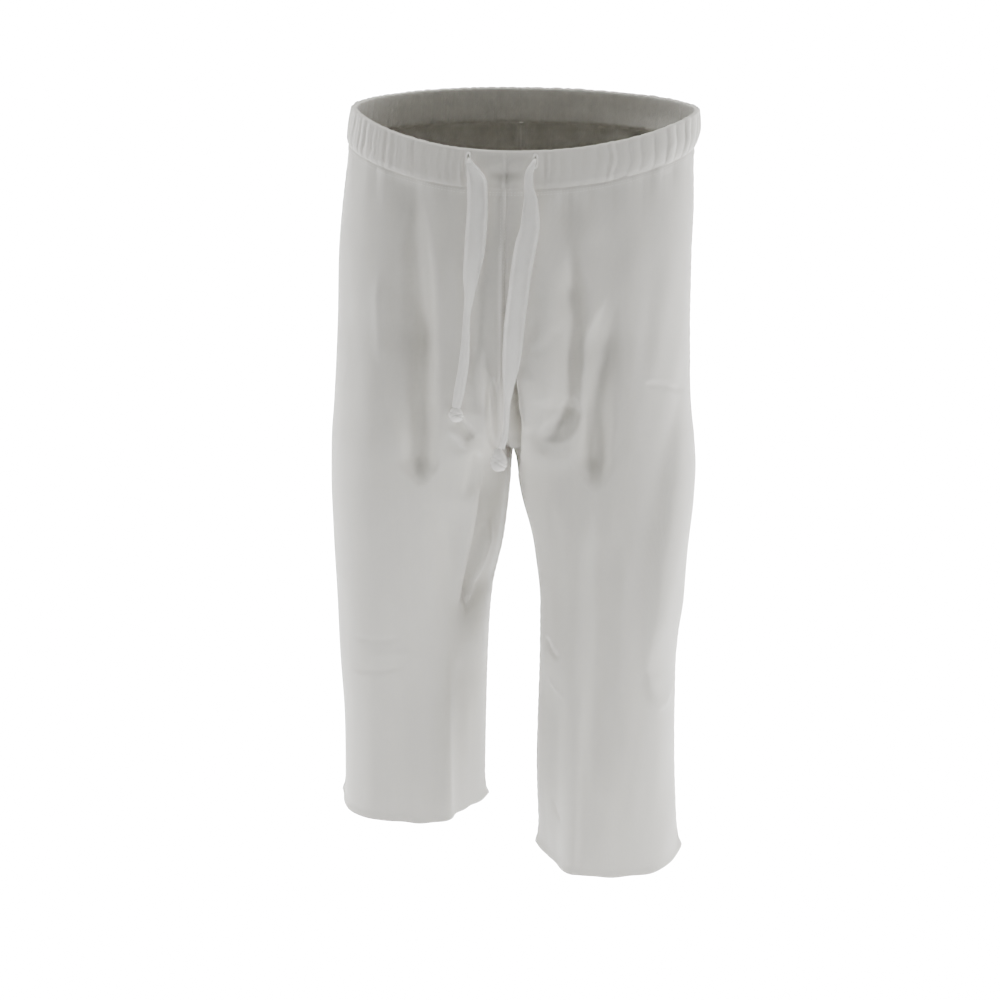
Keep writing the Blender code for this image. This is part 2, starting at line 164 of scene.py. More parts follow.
CREASES = {
    "front": (
        # the cleft below the fork, shared by both front panels
        Crease(((9.2, -232), (7.5, -285), (6.2, -320), (3.5, -385)), 4.6, 3.4, -36),
        Crease(((9.5, -275), (8, -300), (5, -325), (3, -348)), 5.4, 4.8, -28),
        Crease(((19, -235), (20.5, -270), (19, -315)), 4.5, 9, 3.2),
    ),
    "front_right": (
        # the slit beside the cleft
        Crease(((-14, -245), (-13, -290), (-12, -342)), 4.2, 4.2, -6.2),
        Crease(((-23.5, -215), (-21.5, -275), (-20.5, -330)), 5.5, 4.2, 3.6),
        # wearer's right thigh: a long trough, crisp towards the middle, with a deep rounded end
        Crease(((-94, -30), (-93, -130), (-93.5, -250)), 18, 16, -6.4),
        Crease(((-84.5, -60), (-83, -120), (-86, -185)), 5, 5, 1.4),
        Crease(((-111, -120), (-111, -225), (-105, -325)), 12, 11, -6.6),
        Crease(((-98.5, -180), (-98.5, -245), (-100, -312)), 5, 4.8, 2.2),
        Crease(
            ((-88, -60), (-87, -180), (-84.5, -290), (-85.5, -368)), 17.5, 14, -11.2, flat=True, fade=0.12
        ),
        Crease(((-90, -170), (-88, -265), (-86.5, -372)), 17, 13, -6.6, fade=0.18),
        Crease(((-127, -150), (-126.5, -200), (-124, -250)), 7, 7, 2.2),
        Crease(((-58, -110), (-61, -190), (-56, -290)), 12, 12, -2),
        Crease(((-29, -95), (-25, -170), (-24, -230)), 9, 6, -2),
        Crease(((-52, -290), (-43, -300), (-31, -320)), 4.6, 4, -4.6),
        Crease(((-58, -304), (-47, -313), (-37, -328)), 4.4, 5, 1.8),
        Crease(((-30, -328), (-34, -352), (-43, -388)), 5.5, 5.5, -3),
        # wearer's right inner thigh, with its flat facet, knee and calf
        Crease(((-19, -345), (-29, -430), (-44, -524)), 5, 14, -13),
        Crease(((-25, -352), (-37, -430), (-52, -520)), 10, 3.5, 3.4),
        Crease(((-14, -415), (-26, -466), (-42.5, -516)), 3, 3.6, 8.5),
        Crease(((-31, -478), (-39, -496), (-50, -507)), 3, 3, -2.4),
        Crease(((-61, -540), (-60.8, -650), (-60.5, -757)), 9, 3.8, 2.2),
        Crease(((-170, -548), (-140, -547), (-108, -541)), 3.5, 3.5, -0.9),
        Crease(((-170, -588), (-140, -583), (-105, -574)), 3, 4.5, -1.1),
        Crease(((-150, -566), (-125, -562), (-95, -560)), 4, 4, 0.6),
        Crease(((-114, -470), (-112, -600), (-113, -757)), 18, 18, -1.2),
    ),
    "front_left": (
        # wearer's left thigh: two troughs with a ridge between them, and the curved fold to the crotch
        Crease(((64, -110), (69, -200), (64, -262), (47, -318)), 15, 10, -14),
        Crease(((80, -225), (79, -262), (72.5, -330)), 5, 5, 3),
        Crease(((110, -170), (99, -262), (89, -310), (90, -360)), 16, 21, -3.4),
        Crease(((107, -165), (94.5, -240), (89, -315), (92, -368)), 17, 15, -10.5, flat=True, fade=0.22),
        Crease(((70, -270), (60, -300), (30, -314)), 12, 10, -5.6, flat=True, fade=0.3),
        Crease(((73, -326), (52, -336), (30, -332)), 8, 8, 1),
        Crease(((34, -190), (40, -240), (42, -285)), 13, 13, 3),
        Crease(((60, -196), (43, -216), (25, -226)), 7, 5, -1.4),
        Crease(((133, -259), (156, -265), (179, -278)), 3, 3, -2),
        Crease(((54, -60), (56, -120), (64, -190)), 18, 18, -4.4),
        Crease(((100, -90), (96, -160), (90, -235)), 19, 19, -4),
        Crease(((140, -110), (140, -200), (135, -330)), 14, 14, -1.4),
        # wearer's left knee and calf, with the side fold that comes forward at the knee and hooks back
        Crease(((92.5, -385), (93.5, -500), (93, -680)), 15, 19, -5),
        Crease(((79, -560), (77, -650), (75, -757)), 8.5, 4, 2.2),
        Crease(((176.5, -270), (166, -385), (156, -450), (147, -570)), 12, 24, 8.5),
        Crease(((147, -550), (154, -578), (170, -598)), 5, 8, 3.2),
        Crease(((44, -380), (53, -440), (56, -520)), 7, 8, -2.2),
        Crease(((40, -525), (47, -537), (56, -543)), 3, 3, -2.2),
        Crease(((39, -566), (50, -577), (62, -580)), 3, 3, 1.4),
        Crease(((42, -690), (50, -704), (60, -708)), 3.5, 3.5, -1.4),
    ),
    "back_right": (
        # the seat and the back of the legs
        Crease(((-30, -250), (-55, -300), (-90, -335)), 9, 5, -2.2),
        Crease(((-18, -300), (-50, -345), (-90, -372)), 7, 5, -2),
        Crease(((-40, -330), (-70, -365), (-110, -388)), 5, 7, 1.6),
        Crease(((-120, -110), (-124, -210), (-118, -300)), 14, 14, -1.8),
        Crease(((-60, -80), (-66, -150), (-70, -220)), 12, 12, -1.4),
        Crease(((-150, -350), (-120, -366), (-95, -372)), 5, 5, -1.2),
        Crease(((-75, -430), (-92, -520), (-88, -640)), 6, 9, -2.2),
        Crease(((-145, -470), (-140, -600), (-146, -757)), 9, 6, 1.8),
        Crease(((-150, -515), (-115, -520), (-70, -505)), 4.5, 4.5, -1.4),
        Crease(((-160, -545), (-120, -548), (-80, -535)), 3.5, 6, -1.1),
        Crease(((-66, -560), (-70, -650), (-66, -757)), 7, 5, 1.6),
    ),
    "back_left": (
        # the same on the left, unevenly
        Crease(((30, -250), (58, -302), (94, -330)), 5, 9, -2.2),
        Crease(((18, -298), (52, -340), (96, -364)), 5, 7, -2.2),
        Crease(((44, -332), (75, -362), (116, -380)), 7, 5, 1.6),
        Crease(((118, -100), (126, -200), (120, -310)), 15, 13, -1.8),
        Crease(((62, -75), (64, -150), (58, -230)), 12, 11, -1.2),
        Crease(((80, -420), (92, -520), (86, -660)), 9, 6, -2.2),
        Crease(((140, -440), (134, -580), (140, -757)), 6, 9, 1.8),
        Crease(((150, -480), (112, -490), (68, -478)), 4.5, 4.5, -1.4),
        Crease(((155, -512), (118, -522), (78, -512)), 6, 3.5, -1.1),
        Crease(((64, -550), (70, -650), (64, -757)), 5, 7, 1.4),
    ),
}


class TapePoint(NamedTuple):
    """A point on a drawstring's centre line and how wide the tape shows there, in mm, how far it is
    turned about its own length, in degrees, and how much of it is rolled into a cord, from 0 to 1."""

    x: float
    y: float
    z: float
    width: float
    turn: float
    roll: float


TAPES = {
    "right": (
        TapePoint(-36, -88, -36, 2.4, 0, 1),
        TapePoint(-36, -90.6, -36, 2.6, 0, 1),
        TapePoint(-35.5, -93.8, -36.8, 3.6, 16, 0.9),
        TapePoint(-33.8, -96, -41, 8.8, 24, 0.5),
        TapePoint(-30.4, -96.8, -48, 15.2, 16, 0.1),
        TapePoint(-27.4, -97.4, -59, 19.6, 4, 0),
        TapePoint(-27, -98.9, -79, 20, 0, 0),
        TapePoint(-28, -102.2, -104, 20.5, 0, 0),
        TapePoint(-30, -105.2, -126, 19.5, -8, 0.1),
        TapePoint(-33, -107.2, -146, 16, -22, 0.3),
        TapePoint(-35, -108.7, -170, 10.5, -36, 0.7),
        TapePoint(-37, -109.7, -189, 7.2, -30, 1),
        TapePoint(-38, -110.2, -210, 8, -20, 1),
        TapePoint(-40, -110.7, -236, 10, -10, 0.9),
        TapePoint(-44, -111.2, -261, 10.5, -4, 0.9),
        TapePoint(-47.5, -111.2, -280, 8.5, 0, 1),
    ),
    "left": (
        TapePoint(28, -88, -36, 2.4, 0, 1),
        TapePoint(28, -91, -36, 2.6, 0, 1),
        TapePoint(27.6, -94, -36.8, 3.6, -10, 1),
        TapePoint(25.8, -96.2, -41, 5.6, -14, 1),
        TapePoint(22.6, -96.8, -49, 7.8, -10, 0.9),
        TapePoint(22.2, -97.4, -59, 8.8, 8, 0.8),
        TapePoint(25.2, -98.9, -76, 15, 22, 0.3),
        TapePoint(25, -101.8, -96, 19, 14, 0),
        TapePoint(20, -105.3, -120, 21, 4, 0),
        TapePoint(16, -107.8, -144, 20.5, 0, 0),
        TapePoint(13, -109.7, -169, 20, -2, 0),
        TapePoint(10, -110.7, -194, 20, -4, 0),
        TapePoint(8, -111.2, -219, 19, -6, 0.1),
        TapePoint(6, -111.2, -239, 16, -12, 0.3),
        TapePoint(4, -110.7, -260, 10.5, -20, 0.7),
        TapePoint(2.5, -110.2, -280, 6.4, -24, 1),
        TapePoint(1.5, -109.2, -301, 5.4, -16, 1),
        TapePoint(-2.5, -108.2, -322, 6, 0, 1),
    ),
}

# Fineness of the surfaces
PANEL_COLUMNS = 136
PANEL_ROWS = 300
BAND_COLUMNS = 760
TAPE_ROWS = 260
TAPE_AROUND = 36
KNOT_ROWS = 96
KNOT_COLUMNS = 128
SHARP_ANGLE = 65


def length_property(name, description, default, low, high):
    """A length that a user can set."""
    words = {"name": name, "description": description, "subtype": "DISTANCE", "unit": "LENGTH"}
    return bpy.props.FloatProperty(default=default, min=low, max=high, **words)


def colour_property(name, description, default):
    """A colour that a user can set."""
    words = {"name": name, "description": description, "subtype": "COLOR"}
    return bpy.props.FloatVectorProperty(default=default, min=0.0, max=1.0, size=3, **words)


class CapriCloth(bpy.types.PropertyGroup):
    """What a user would change about the cloth."""

    wall: length_property("Cloth Thickness", "Thickness of one layer of jersey", 0.0018, 0.001, 0.003)
    crease_depth: bpy.props.FloatProperty(
        name="Crease Depth",
        description="How strongly the finer creases show, as a share of their usual height",
        default=1.0,
        min=0.0,
        max=2.0,
        subtype="FACTOR",
    )
    colour: colour_property("Jersey Colour", "Colour of the panels", (0.690, 0.672, 0.620))
    band_colour: colour_property("Waistband Colour", "Colour of the waistband", (0.686, 0.668, 0.616))


class CapriTrim(bpy.types.PropertyGroup):
    """What a user would change about the drawstring and the stitches."""

    tape_colour: colour_property(
        "Drawstring Colour", "Colour of the cotton tape and its knots", (0.930, 0.912, 0.866)
    )
    thread_colour: colour_property("Thread Colour", "Colour of the sewing thread", (0.850, 0.835, 0.790))
    stitch_length: length_property(
        "Stitch Length", "Distance from one stitch to the next", 0.0032, 0.002, 0.006
    )


# ---------------------------------------------------------------- shapes


def follow(stations, values, at):
    """A smooth curve through the values: cubic Hermite spans whose slope at each station is the harmonic
    mean of the slopes beside it, or none where they turn, so that it never overshoots."""
    stations = np.asarray(stations, float)
    values = np.asarray(values, float)
    at = np.asarray(at, float)
    rise = np.diff(values) / np.diff(stations)
    before, after = rise[:-1], rise[1:]
    same = before * after > 0
    slope = np.concatenate(([rise[0]], np.zeros(len(before)), [rise[-1]]))
    inner = slope[1:-1]
    inner[same] = 2 * before[same] * after[same] / (before[same] + after[same])
    k = np.clip(np.searchsorted(stations, at, side="right") - 1, 0, len(rise) - 1)
    span = stations[k + 1] - stations[k]
    t = (at - stations[k]) / span
    start = (1 + 2 * t) * (1 - t) ** 2 * values[k] + t * (1 - t) ** 2 * span * slope[k]
    end = t**2 * (3 - 2 * t) * values[k + 1] - t**2 * (1 - t) * span * slope[k + 1]
    return start + end


def smooth_step(t):
    """0 below 0, 1 above 1, and the cubic 3t^2 - 2t^3 between."""
    t = np.clip(t, 0.0, 1.0)
    return t * t * (3 - 2 * t)


def bell(t):
    """exp(-t^2): 1 at 0 and near nothing past 2."""
    return np.exp(-np.square(t))


def column(name, z):
    """One column of the section table, read at the heights z."""
    stations = [-row.z for row in SECTIONS]
    return follow(stations, [getattr(row, name) for row in SECTIONS], -z)


def outward_sign(side):
    """Which way is outwards along x: -1 on the wearer's right."""
    return -1.0 if side == "right" else 1.0


def face_sign(where):
    """Which way a panel faces along y: -1 in front."""
    return -1.0 if where == "front" else 1.0


def leg_section(side, z):
    """Centre x, half width, front depth, back depth, squareness and centre y of one side's section, with
    x counted outwards from the centre plane."""
    suffix = side[0]
    outer = column("outer_" + suffix, z)
    inner = column("inner_" + suffix, z)
    return (
        (outer + inner) / 2,
        (outer - inner) / 2,
        column("front", z),
        column("back", z),
        column("square", z),
        column("stride_" + suffix, z),
    )


def end_angle(side, z):
    """The angle, from the side seam round to the centre plane or the inseam, where a panel ends."""
    middle, half, _, _, square, _ = leg_section(side, z)
    cosine = np.clip(-middle / half, -1.0, 1.0)
    return np.arctan2((1 - np.abs(cosine) ** square) ** (1 / square), cosine)


def waist_shift(sine, z):
    """How far a point is lowered or raised by the dip of the waist, fading out down the panel."""
    fade = smooth_step((z - DIP_FADES_AT) / (-BAND_HEIGHT - DIP_FADES_AT))
    tilt = np.where(sine < 0, -FRONT_DIP, BACK_RISE)
    return tilt * sine**2 * fade


def bare_point(side, angle, z, face):
    """A point of the section at this angle from the side seam, without folds. face is -1 in front."""
    middle, half, front, back, square, stride = leg_section(side, z)
    cosine, sine = np.cos(angle), np.sin(angle)
    radius = (np.abs(cosine) ** square + np.abs(sine) ** square) ** (-1 / square)
    depth = np.where(face < 0, front, back)
    x = outward_sign(side) * (middle + half * radius * cosine)
    y = stride + face * depth * radius * sine
    return np.stack([x, y, z + waist_shift(face * radius * np.abs(sine), z)], axis=-1)


def unit(vectors):
    """The same directions, one long."""
    return vectors / np.maximum(np.linalg.norm(vectors, axis=-1, keepdims=True), 1e-12)


def bare_normal(panel, angle, z):
    """The outward normal of a panel's bare surface, from differences along and down it."""
    where, side = panel.split("_")
    face = face_sign(where)
    step = 1e-4
    along = bare_point(side, angle + step, z, face) - bare_point(side, angle - step, z, face)
    down = bare_point(side, angle, z - step, face) - bare_point(side, angle, z + step, face)
    return unit(np.cross(along, down)) * -outward_sign(side) * face


def fold_height(panel, angle, x, z):
    """The sum of the panel's broad folds: each a bell across its line, fading at both ends and at the
    side seam and the inseam."""
    total = np.zeros(np.broadcast(x, z).shape)
    for name, *sizes in FOLDS:
        if name != panel:
            continue
        top_x, top_z, low_x, low_z, half_width, depth = np.array(sizes) * MM
        along = (top_z - z) / (top_z - low_z)
        line = top_x + (low_x - top_x) * along
        ends = smooth_step(along / 0.3)
        if low_z > HEM + 0.001:
            ends = ends * smooth_step((1 - along) / 0.3)
        total = total + depth * bell((x - line) / half_width) * ends
    return total * smooth_step(angle / SEAM_FADE) * smooth_step((np.pi - angle) / SEAM_FADE)


def along_line(line, x, z):
    """For points beside a bent line: how far off it each is, which side of it, positive towards +x where
    the line runs down, and what share of the way along it."""
    here = np.stack([x, z], axis=-1)
    start, step = line[:-1], np.diff(line, axis=0)
    offset = here[:, None] - start
    t = np.clip((offset * step).sum(-1) / (step**2).sum(-1), 0, 1)
    away = offset - t[..., None] * step
    distance = np.linalg.norm(away, axis=-1)
    nearest = distance.argmin(axis=1)
    row = np.arange(len(here))
    turn = step[nearest, 0] * away[row, nearest, 1] - step[nearest, 1] * away[row, nearest, 0]
    return distance[row, nearest], turn, (nearest + t[row, nearest]) / len(start)


def crease_height(panel, angle, x, z):
    """The sum of the finer creases: the distance from each bent line, over the half width of its own
    side, put through a bell, or through exp(-t^4) where the crease is flat. A crease's start fades over
    0.28 of its line and its end over its own fade, unless it runs out at the hem, and the width narrows
    with it to about a third."""
    total = np.zeros(x.shape)
    for crease in (row for group, rows in CREASES.items() if panel.startswith(group) for row in rows):
        points = np.array(crease.line) * MM
        run = np.linspace(0, 1, len(points))
        share = np.linspace(0, 1, 25)
        line = np.stack([follow(run, points[:, k], share) for k in (0, 1)], axis=-1)
        reach = 3 * max(crease.left, crease.right) * MM
        low, high = line.min(axis=0) - reach, line.max(axis=0) + reach
        near = (x > low[0]) & (x < high[0]) & (z > low[1]) & (z < high[1])
        if not near.any():
            continue
        distance, turn, along = along_line(line, x[near], z[near])
        ends = smooth_step(along / 0.28)
        if points[-1, 1] > HEM + 0.001:
            ends = ends * smooth_step((1 - along) / crease.fade)
        width = np.where(turn > 0, crease.right, crease.left) * MM * (0.35 + 0.65 * ends)
        across = (distance / width) ** (2 if crease.flat else 1)
        total[near] += crease.height * MM * bell(across) * ends
    return total * smooth_step(angle / 0.12) * smooth_step((np.pi - angle) / 0.16)


def ripple(run, across, seed, wave, strength):
    """Soft uneven waves: a few sines of unlike lengths and phases, drawn once from the seed."""
    draw = np.random.default_rng(seed)
    total = np.zeros(np.broadcast(run, across).shape)
    for _ in range(7):
        length = wave * draw.uniform(0.6, 1.9)
        lean = draw.uniform(-0.25, 0.25)
        phase = draw.uniform(0, 2 * np.pi)
        slow = draw.uniform(0, 2 * np.pi)
        total = total + np.sin(2 * np.pi * (run + lean * across) / length + phase) * (
            0.6 + 0.4 * np.sin(2 * np.pi * across / (wave * 7) + slow)
        )
    return strength * total / 7**0.5


def gathers(run, seed):
    """Gathers: a fixed set of rounded puffs of unlike widths and heights beside each other, between
    pinched lines; each puff is the square root of a sine arch."""
    draw = np.random.default_rng(seed)
    edges = [-0.010]
    while edges[-1] < 1.25:
        edges.append(edges[-1] + draw.uniform(0.0055, 0.0150))
    edges = np.array(edges)
    heights = draw.uniform(0.35, 1.0, len(edges))
    k = np.clip(np.searchsorted(edges, run, side="right") - 1, 0, len(edges) - 2)
    share = (run - edges[k]) / (edges[k + 1] - edges[k])
    return heights[k] * np.sqrt(np.sin(np.pi * np.clip(share, 0, 1)) + 1e-4)


def panel_heights():
    """The heights of a panel's rows, evenly from the waist seam to the hem."""
    return np.linspace(-BAND_HEIGHT + 0.0004, HEM, PANEL_ROWS + 1)


def panel_angles(side, z):
    """The angles of a panel's columns at the heights z. The middle one swings from an eighth to a quarter
    of the way round between the hip and the crotch, and the others follow as a power of their share."""
    side_gap = 1e-5
    last = np.minimum(end_angle(side, z), np.pi - side_gap)
    share = np.linspace(0, 1, PANEL_COLUMNS + 1)[None, :]
    middle = np.pi / 4 * (1 + smooth_step((HIP - z) / (HIP - CROTCH)))
    power = np.log(middle / last) / np.log(0.5)
    return side_gap + (last - side_gap) * share**power


def edge_runs(points):
    """How far each point is from its row's first and last point, measured along the row."""
    steps = np.linalg.norm(np.diff(points, axis=1), axis=-1)
    run = np.concatenate([np.zeros((len(points), 1)), np.cumsum(steps, axis=1)], axis=1)
    return run, run[:, -1:] - run


def panel_seed(panel):
    """The seed of a panel's ripples and gathers."""
    return 11 + len(panel) + panel.endswith("left") * 5


def waist_relief(panel, x, level, drop):
    """Gathers that run out below the waistband with soft ripples under them, both calm beside the front's
    flat stretch, and faint ripples all the way down."""
    where, side = panel.split("_")
    low, high = FLAT_FRONT
    flat = smooth_step((x - low + 0.006) / 0.006) * smooth_step((high + 0.006 - x) / 0.006)
    calm = 1 - flat * (where == "front")
    seed = panel_seed(panel)
    pinch = gathers(x * face_sign(where) + 0.2, seed) - 0.62
    height = GATHER * pinch * calm * np.exp(-drop / 0.017) * smooth_step(drop / 0.004)
    height = height + ripple(x, level, seed + 40, 0.026, 0.00065) * np.exp(-drop / 0.085) * calm
    return height + ripple(x, level, seed + 80, 0.034, 0.00045)


def seam_relief(where, x, z, level, from_side, from_end):
    """The cloth turns down over its last two millimetres behind a low puckered ridge, at the side seam
    and at the end seam, where the front is calmer above the fork. The waist seam is a step with a puff
    below it. In front a felled seam stands up between two grooves and runs out above the fork."""
    drop = -BAND_HEIGHT - z
    calm = smooth_step((z - CROTCH) / (FORK - CROTCH)) * (where == "front")
    ridge_side = 0.00045 * bell((from_side - 0.0032) / 0.0016)
    ridge_end = 0.00055 * bell((from_end - 0.0034) / 0.0017) * (1 - calm)
    turn_side = -0.0009 * bell(from_side / 0.0011)
    turn_end = -(0.0009 - 0.0008 * calm) * bell(from_end / 0.0009)
    pucker = 1 + 0.35 * np.sin(2 * np.pi * level / 0.0115 + 1.7 * np.sin(2 * np.pi * level / 0.041))
    height = (ridge_side + ridge_end) * pucker + turn_side + turn_end
    height = height - 0.0006 * smooth_step((0.0016 - drop) / 0.0012) + 0.0006 * bell((drop - 0.0052) / 0.0034)
    if where == "front":
        felled = np.abs(x - FELLED_AT)
        raised = smooth_step((0.0032 - felled) / 0.0016) * FELLED_RISE
        grooves = -FELLED_RISE * bell((felled - 0.0034) / 0.0008)
        height = height + (raised + grooves) * smooth_step((z + 0.300) / 0.060) * smooth_step(drop / 0.006)
    return height


def panel_skin(panel, crease_depth):
    """The outer points of a panel, its normals, and the runs that its cloth pattern follows.

    Height above the bare section = folds + creases x crease_depth + waist relief, all fading over 4 mm at
    the seams, + seam relief + the hem, which rolls outwards, flares at the seams and sags unevenly."""
    where, side = panel.split("_")
    z = panel_heights()[:, None]
    angle = panel_angles(side, z)
    z = np.broadcast_to(z, angle.shape)
    bare = bare_point(side, angle, z, face_sign(where))
    normal = bare_normal(panel, angle, z)
    x, level = bare[..., 0], bare[..., 2]
    from_side, from_end = edge_runs(bare)
    drop = -BAND_HEIGHT - z

    height = fold_height(panel, angle, x, level) + crease_depth * crease_height(panel, angle, x, level)
    height = height + waist_relief(panel, x, level, drop)
    height = height * smooth_step(from_end / 0.004) * smooth_step(from_side / 0.004)
    height = height + seam_relief(where, x, z, level, from_side, from_end)

    up = z - HEM
    edge = ripple(angle * 0.08, z * 0, panel_seed(panel) + 7, 0.045, 1.0)
    roll = HEM_ROLL * (1 + 0.25 * edge) * bell(up / 0.0052)
    flare = HEM_FLARE * bell(up / 0.016) * (bell(from_side / 0.012) + bell(from_end / 0.012))
    points = bare + normal * (height + roll + flare)[..., None]
    sag = 0.0006 * edge - 0.0016 * (bell(from_side / 0.010) + bell(from_end / 0.010))
    points[..., 2] -= sag * smooth_step((0.05 - up) / 0.05)
    points[..., 2] = np.maximum(points[..., 2], HEM - 0.0035)
    return points, grid_normals(points, normal), from_side, drop


def grid_normals(points, like):
    """Normals of a grid from its own differences, pointing the way that like does."""
    along = np.gradient(points, axis=1)
    down = np.gradient(points, axis=0)
    normal = unit(np.cross(along, down))
    return normal * np.sign((normal * like).sum(-1, keepdims=True))


# ---------------------------------------------------------------- meshes


def grid_faces(rows, columns, closed_rows=False, closed_columns=False, start=0):
    """The quads of a grid of points, row by row; a closed direction joins its last line to its first."""
    number = np.arange(rows * columns).reshape(rows, columns) + start
    if closed_rows:
        number = np.concatenate([number, number[:1]], axis=0)
    if closed_columns:
        number = np.concatenate([number, number[:, :1]], axis=1)
    return np.stack(
        [number[:-1, :-1], number[1:, :-1], number[1:, 1:], number[:-1, 1:]], axis=-1
    ).reshape(-1, 4)


def new_piece(name, points, *faces):
    """A smooth mesh object at the origin, its faces outwards, riding on the root. Each array of faces has
    one row of corners per face, and the first one holds the quads that tell which way they point."""
    points = np.asarray(points, float).reshape(-1, 3)
    if signed_volume(points, faces[0]) < 0:
        faces = [part[:, ::-1] for part in faces]
    corners = np.concatenate([part.ravel() for part in faces])
    sizes = np.concatenate([np.full(len(part), part.shape[1]) for part in faces])
    mesh = bpy.data.meshes.new(name)
    mesh.vertices.add(len(points))
    mesh.vertices.foreach_set("co", points.astype(np.float32).ravel())
    mesh.loops.add(len(corners))
    mesh.loops.foreach_set("vertex_index", corners.astype(np.int32))
    mesh.polygons.add(len(sizes))
    mesh.polygons.foreach_set("loop_start", (np.cumsum(sizes) - sizes).astype(np.int32))
    mesh.update(calc_edges=True)
    mesh.validate()
    mesh.shade_smooth()
    piece = bpy.data.objects.new(name, mesh)
    bpy.context.scene.collection.objects.link(piece)
    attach(piece, "root")
    return piece


def dress(piece, material, node=None):
    """Gives a piece its material and its slot, and lets it stand in for a solid."""
    piece.data.materials.append(material)
    if node:
        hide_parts(node)


def run_along(line):
    """The distance from the first point to each point of a line."""
    steps = np.linalg.norm(np.diff(line, axis=0), axis=1)
    return np.concatenate([[0], np.cumsum(steps)])


def signed_volume(points, faces):
    """The volume inside a closed mesh of quads, negative where its faces point inwards."""
    a, b, c, d = (points[faces[:, k]] for k in range(4))
    first = np.einsum("ij,ij->i", a, np.cross(b, c)).sum()
    second = np.einsum("ij,ij->i", a, np.cross(c, d)).sum()
    return first + second


def map_cloth(piece, run, drop):
    """A UV map in metres: along the cloth and down it, given for each point."""
    layer = piece.data.uv_layers.new(name="cloth")
    corner = np.zeros(len(piece.data.loops), np.int32)
    piece.data.loops.foreach_get("vertex_index", corner)
    pair = np.stack([np.ravel(run)[corner], np.ravel(drop)[corner]], axis=-1)
    layer.data.foreach_set("uv", pair.astype(np.float32).ravel())


def shell(name, outer, inner, run, drop):
    """A closed wall between two grids of points. Its rims have a middle line, which stands out by a
    share of the wall: a little at the top, a third at the hem, and not at all at the seams."""
    rows, columns = outer.shape[:2]
    faces = [
        grid_faces(rows, columns),
        grid_faces(rows, columns, start=rows * columns)[:, ::-1],
    ]
    top = np.arange(columns)
    low = top + (rows - 1) * columns
    left = np.arange(rows) * columns
    right = left + columns - 1
    ring = np.concatenate([top[:-1], right[:-1], low[:0:-1], left[:0:-1]])
    flat_outer, flat_inner = outer.reshape(-1, 3), inner.reshape(-1, 3)
    middle = (flat_outer[ring] + flat_inner[ring]) / 2
    along = unit(np.roll(middle, -1, axis=0) - np.roll(middle, 1, axis=0))
    wall = flat_outer[ring] - flat_inner[ring]
    out = unit(np.cross(along, wall))
    inward = np.concatenate([top[:-1] + columns, right[:-1] - 1, low[:0:-1] - columns, left[:0:-1] + 1])
    out = out * np.sign(((middle - flat_outer[inward]) * out).sum(-1, keepdims=True))
    bulge = np.repeat([0.05, 0.0, 0.33, 0.0], [columns - 1, rows - 1, columns - 1, rows - 1])
    middle = middle + out * np.linalg.norm(wall, axis=-1, keepdims=True) * bulge[:, None]
    count = rows * columns
    edge = np.arange(len(ring)) + 2 * count
    following = np.roll(ring, -1)
    edge_next = np.roll(edge, -1)
    faces.append(np.stack([ring, edge, edge_next, following], axis=-1)[:, ::-1])
    faces.append(np.stack([edge, ring + count, following + count, edge_next], axis=-1)[:, ::-1])
    points = np.concatenate([flat_outer, flat_inner, middle])
    piece = new_piece(name, points, np.concatenate(faces))
    piece.data.set_sharp_from_angle(angle=np.radians(SHARP_ANGLE))
    runs, drops = (np.concatenate([v.ravel(), v.ravel(), v.ravel()[ring]]) for v in (run, drop))
    map_cloth(piece, runs, drops)
    return piece


# ---------------------------------------------------------------- materials


class Value:
    """A socket that takes part in Python expressions: each operator adds a Math node."""

    def __init__(self, sheet, socket):
        self.sheet = sheet
        self.socket = socket

    def _math(self, operation, first, second=None):
        values = [first] if second is None else [first, second]
        return self.sheet.add("ShaderNodeMath", {"operation": operation}, dict(enumerate(values)))

    def __add__(self, other):
        return self._math("ADD", self, other)

    __radd__ = __add__

    def __sub__(self, other):
        return self._math("SUBTRACT", self, other)

    def __rsub__(self, other):
        return self._math("SUBTRACT", other, self)

    def __mul__(self, other):
        return self._math("MULTIPLY", self, other)

    __rmul__ = __mul__

    def sine(self):
        return self._math("SINE", self)

    def absolute(self):
        return self._math("ABSOLUTE", self)

    def clipped(self):
        return self._math("MINIMUM", self._math("MAXIMUM", self, 0.0), 1.0)


class Sheet:
    """The node tree of a material or world. add() makes any node: its settings first, then its sockets'
    values or links, and gives back one output as a Value."""

    def __init__(self, owner, shader="Principled BSDF"):
        owner.use_nodes = True
        self.owner = owner
        self.tree = owner.node_tree
        self.shader = self.tree.nodes[shader]

    def add(self, kind, settings=None, sockets=None, output=0):
        """A node of this kind; gives back its output."""
        node = self.tree.nodes.new(kind)
        for key, value in (settings or {}).items():
            setattr(node, key, value)
        for key, value in (sockets or {}).items():
            self.set(node, key, value)
        return Value(self, node.outputs[output])

    def set(self, node, key, value):
        """Links a Value to a socket, or sets the socket to a constant."""
        if isinstance(value, Value):
            self.tree.links.new(value.socket, node.inputs[key])
        else:
            node.inputs[key].default_value = value

    def feed(self, **sockets):
        """Sets the shader's own sockets, with _ for each space in their names."""
        for key, value in sockets.items():
            self.set(self.shader, key.replace("_", " "), value)


def colour_between(sheet, factor, first, second):
    """A Mix node between two colours, which are its sockets 6 and 7."""
    return sheet.add(
        "ShaderNodeMix",
        {"data_type": "RGBA"},
        {0: factor, 6: (*first, 1.0), 7: (*second, 1.0)},
        output=2,
    )


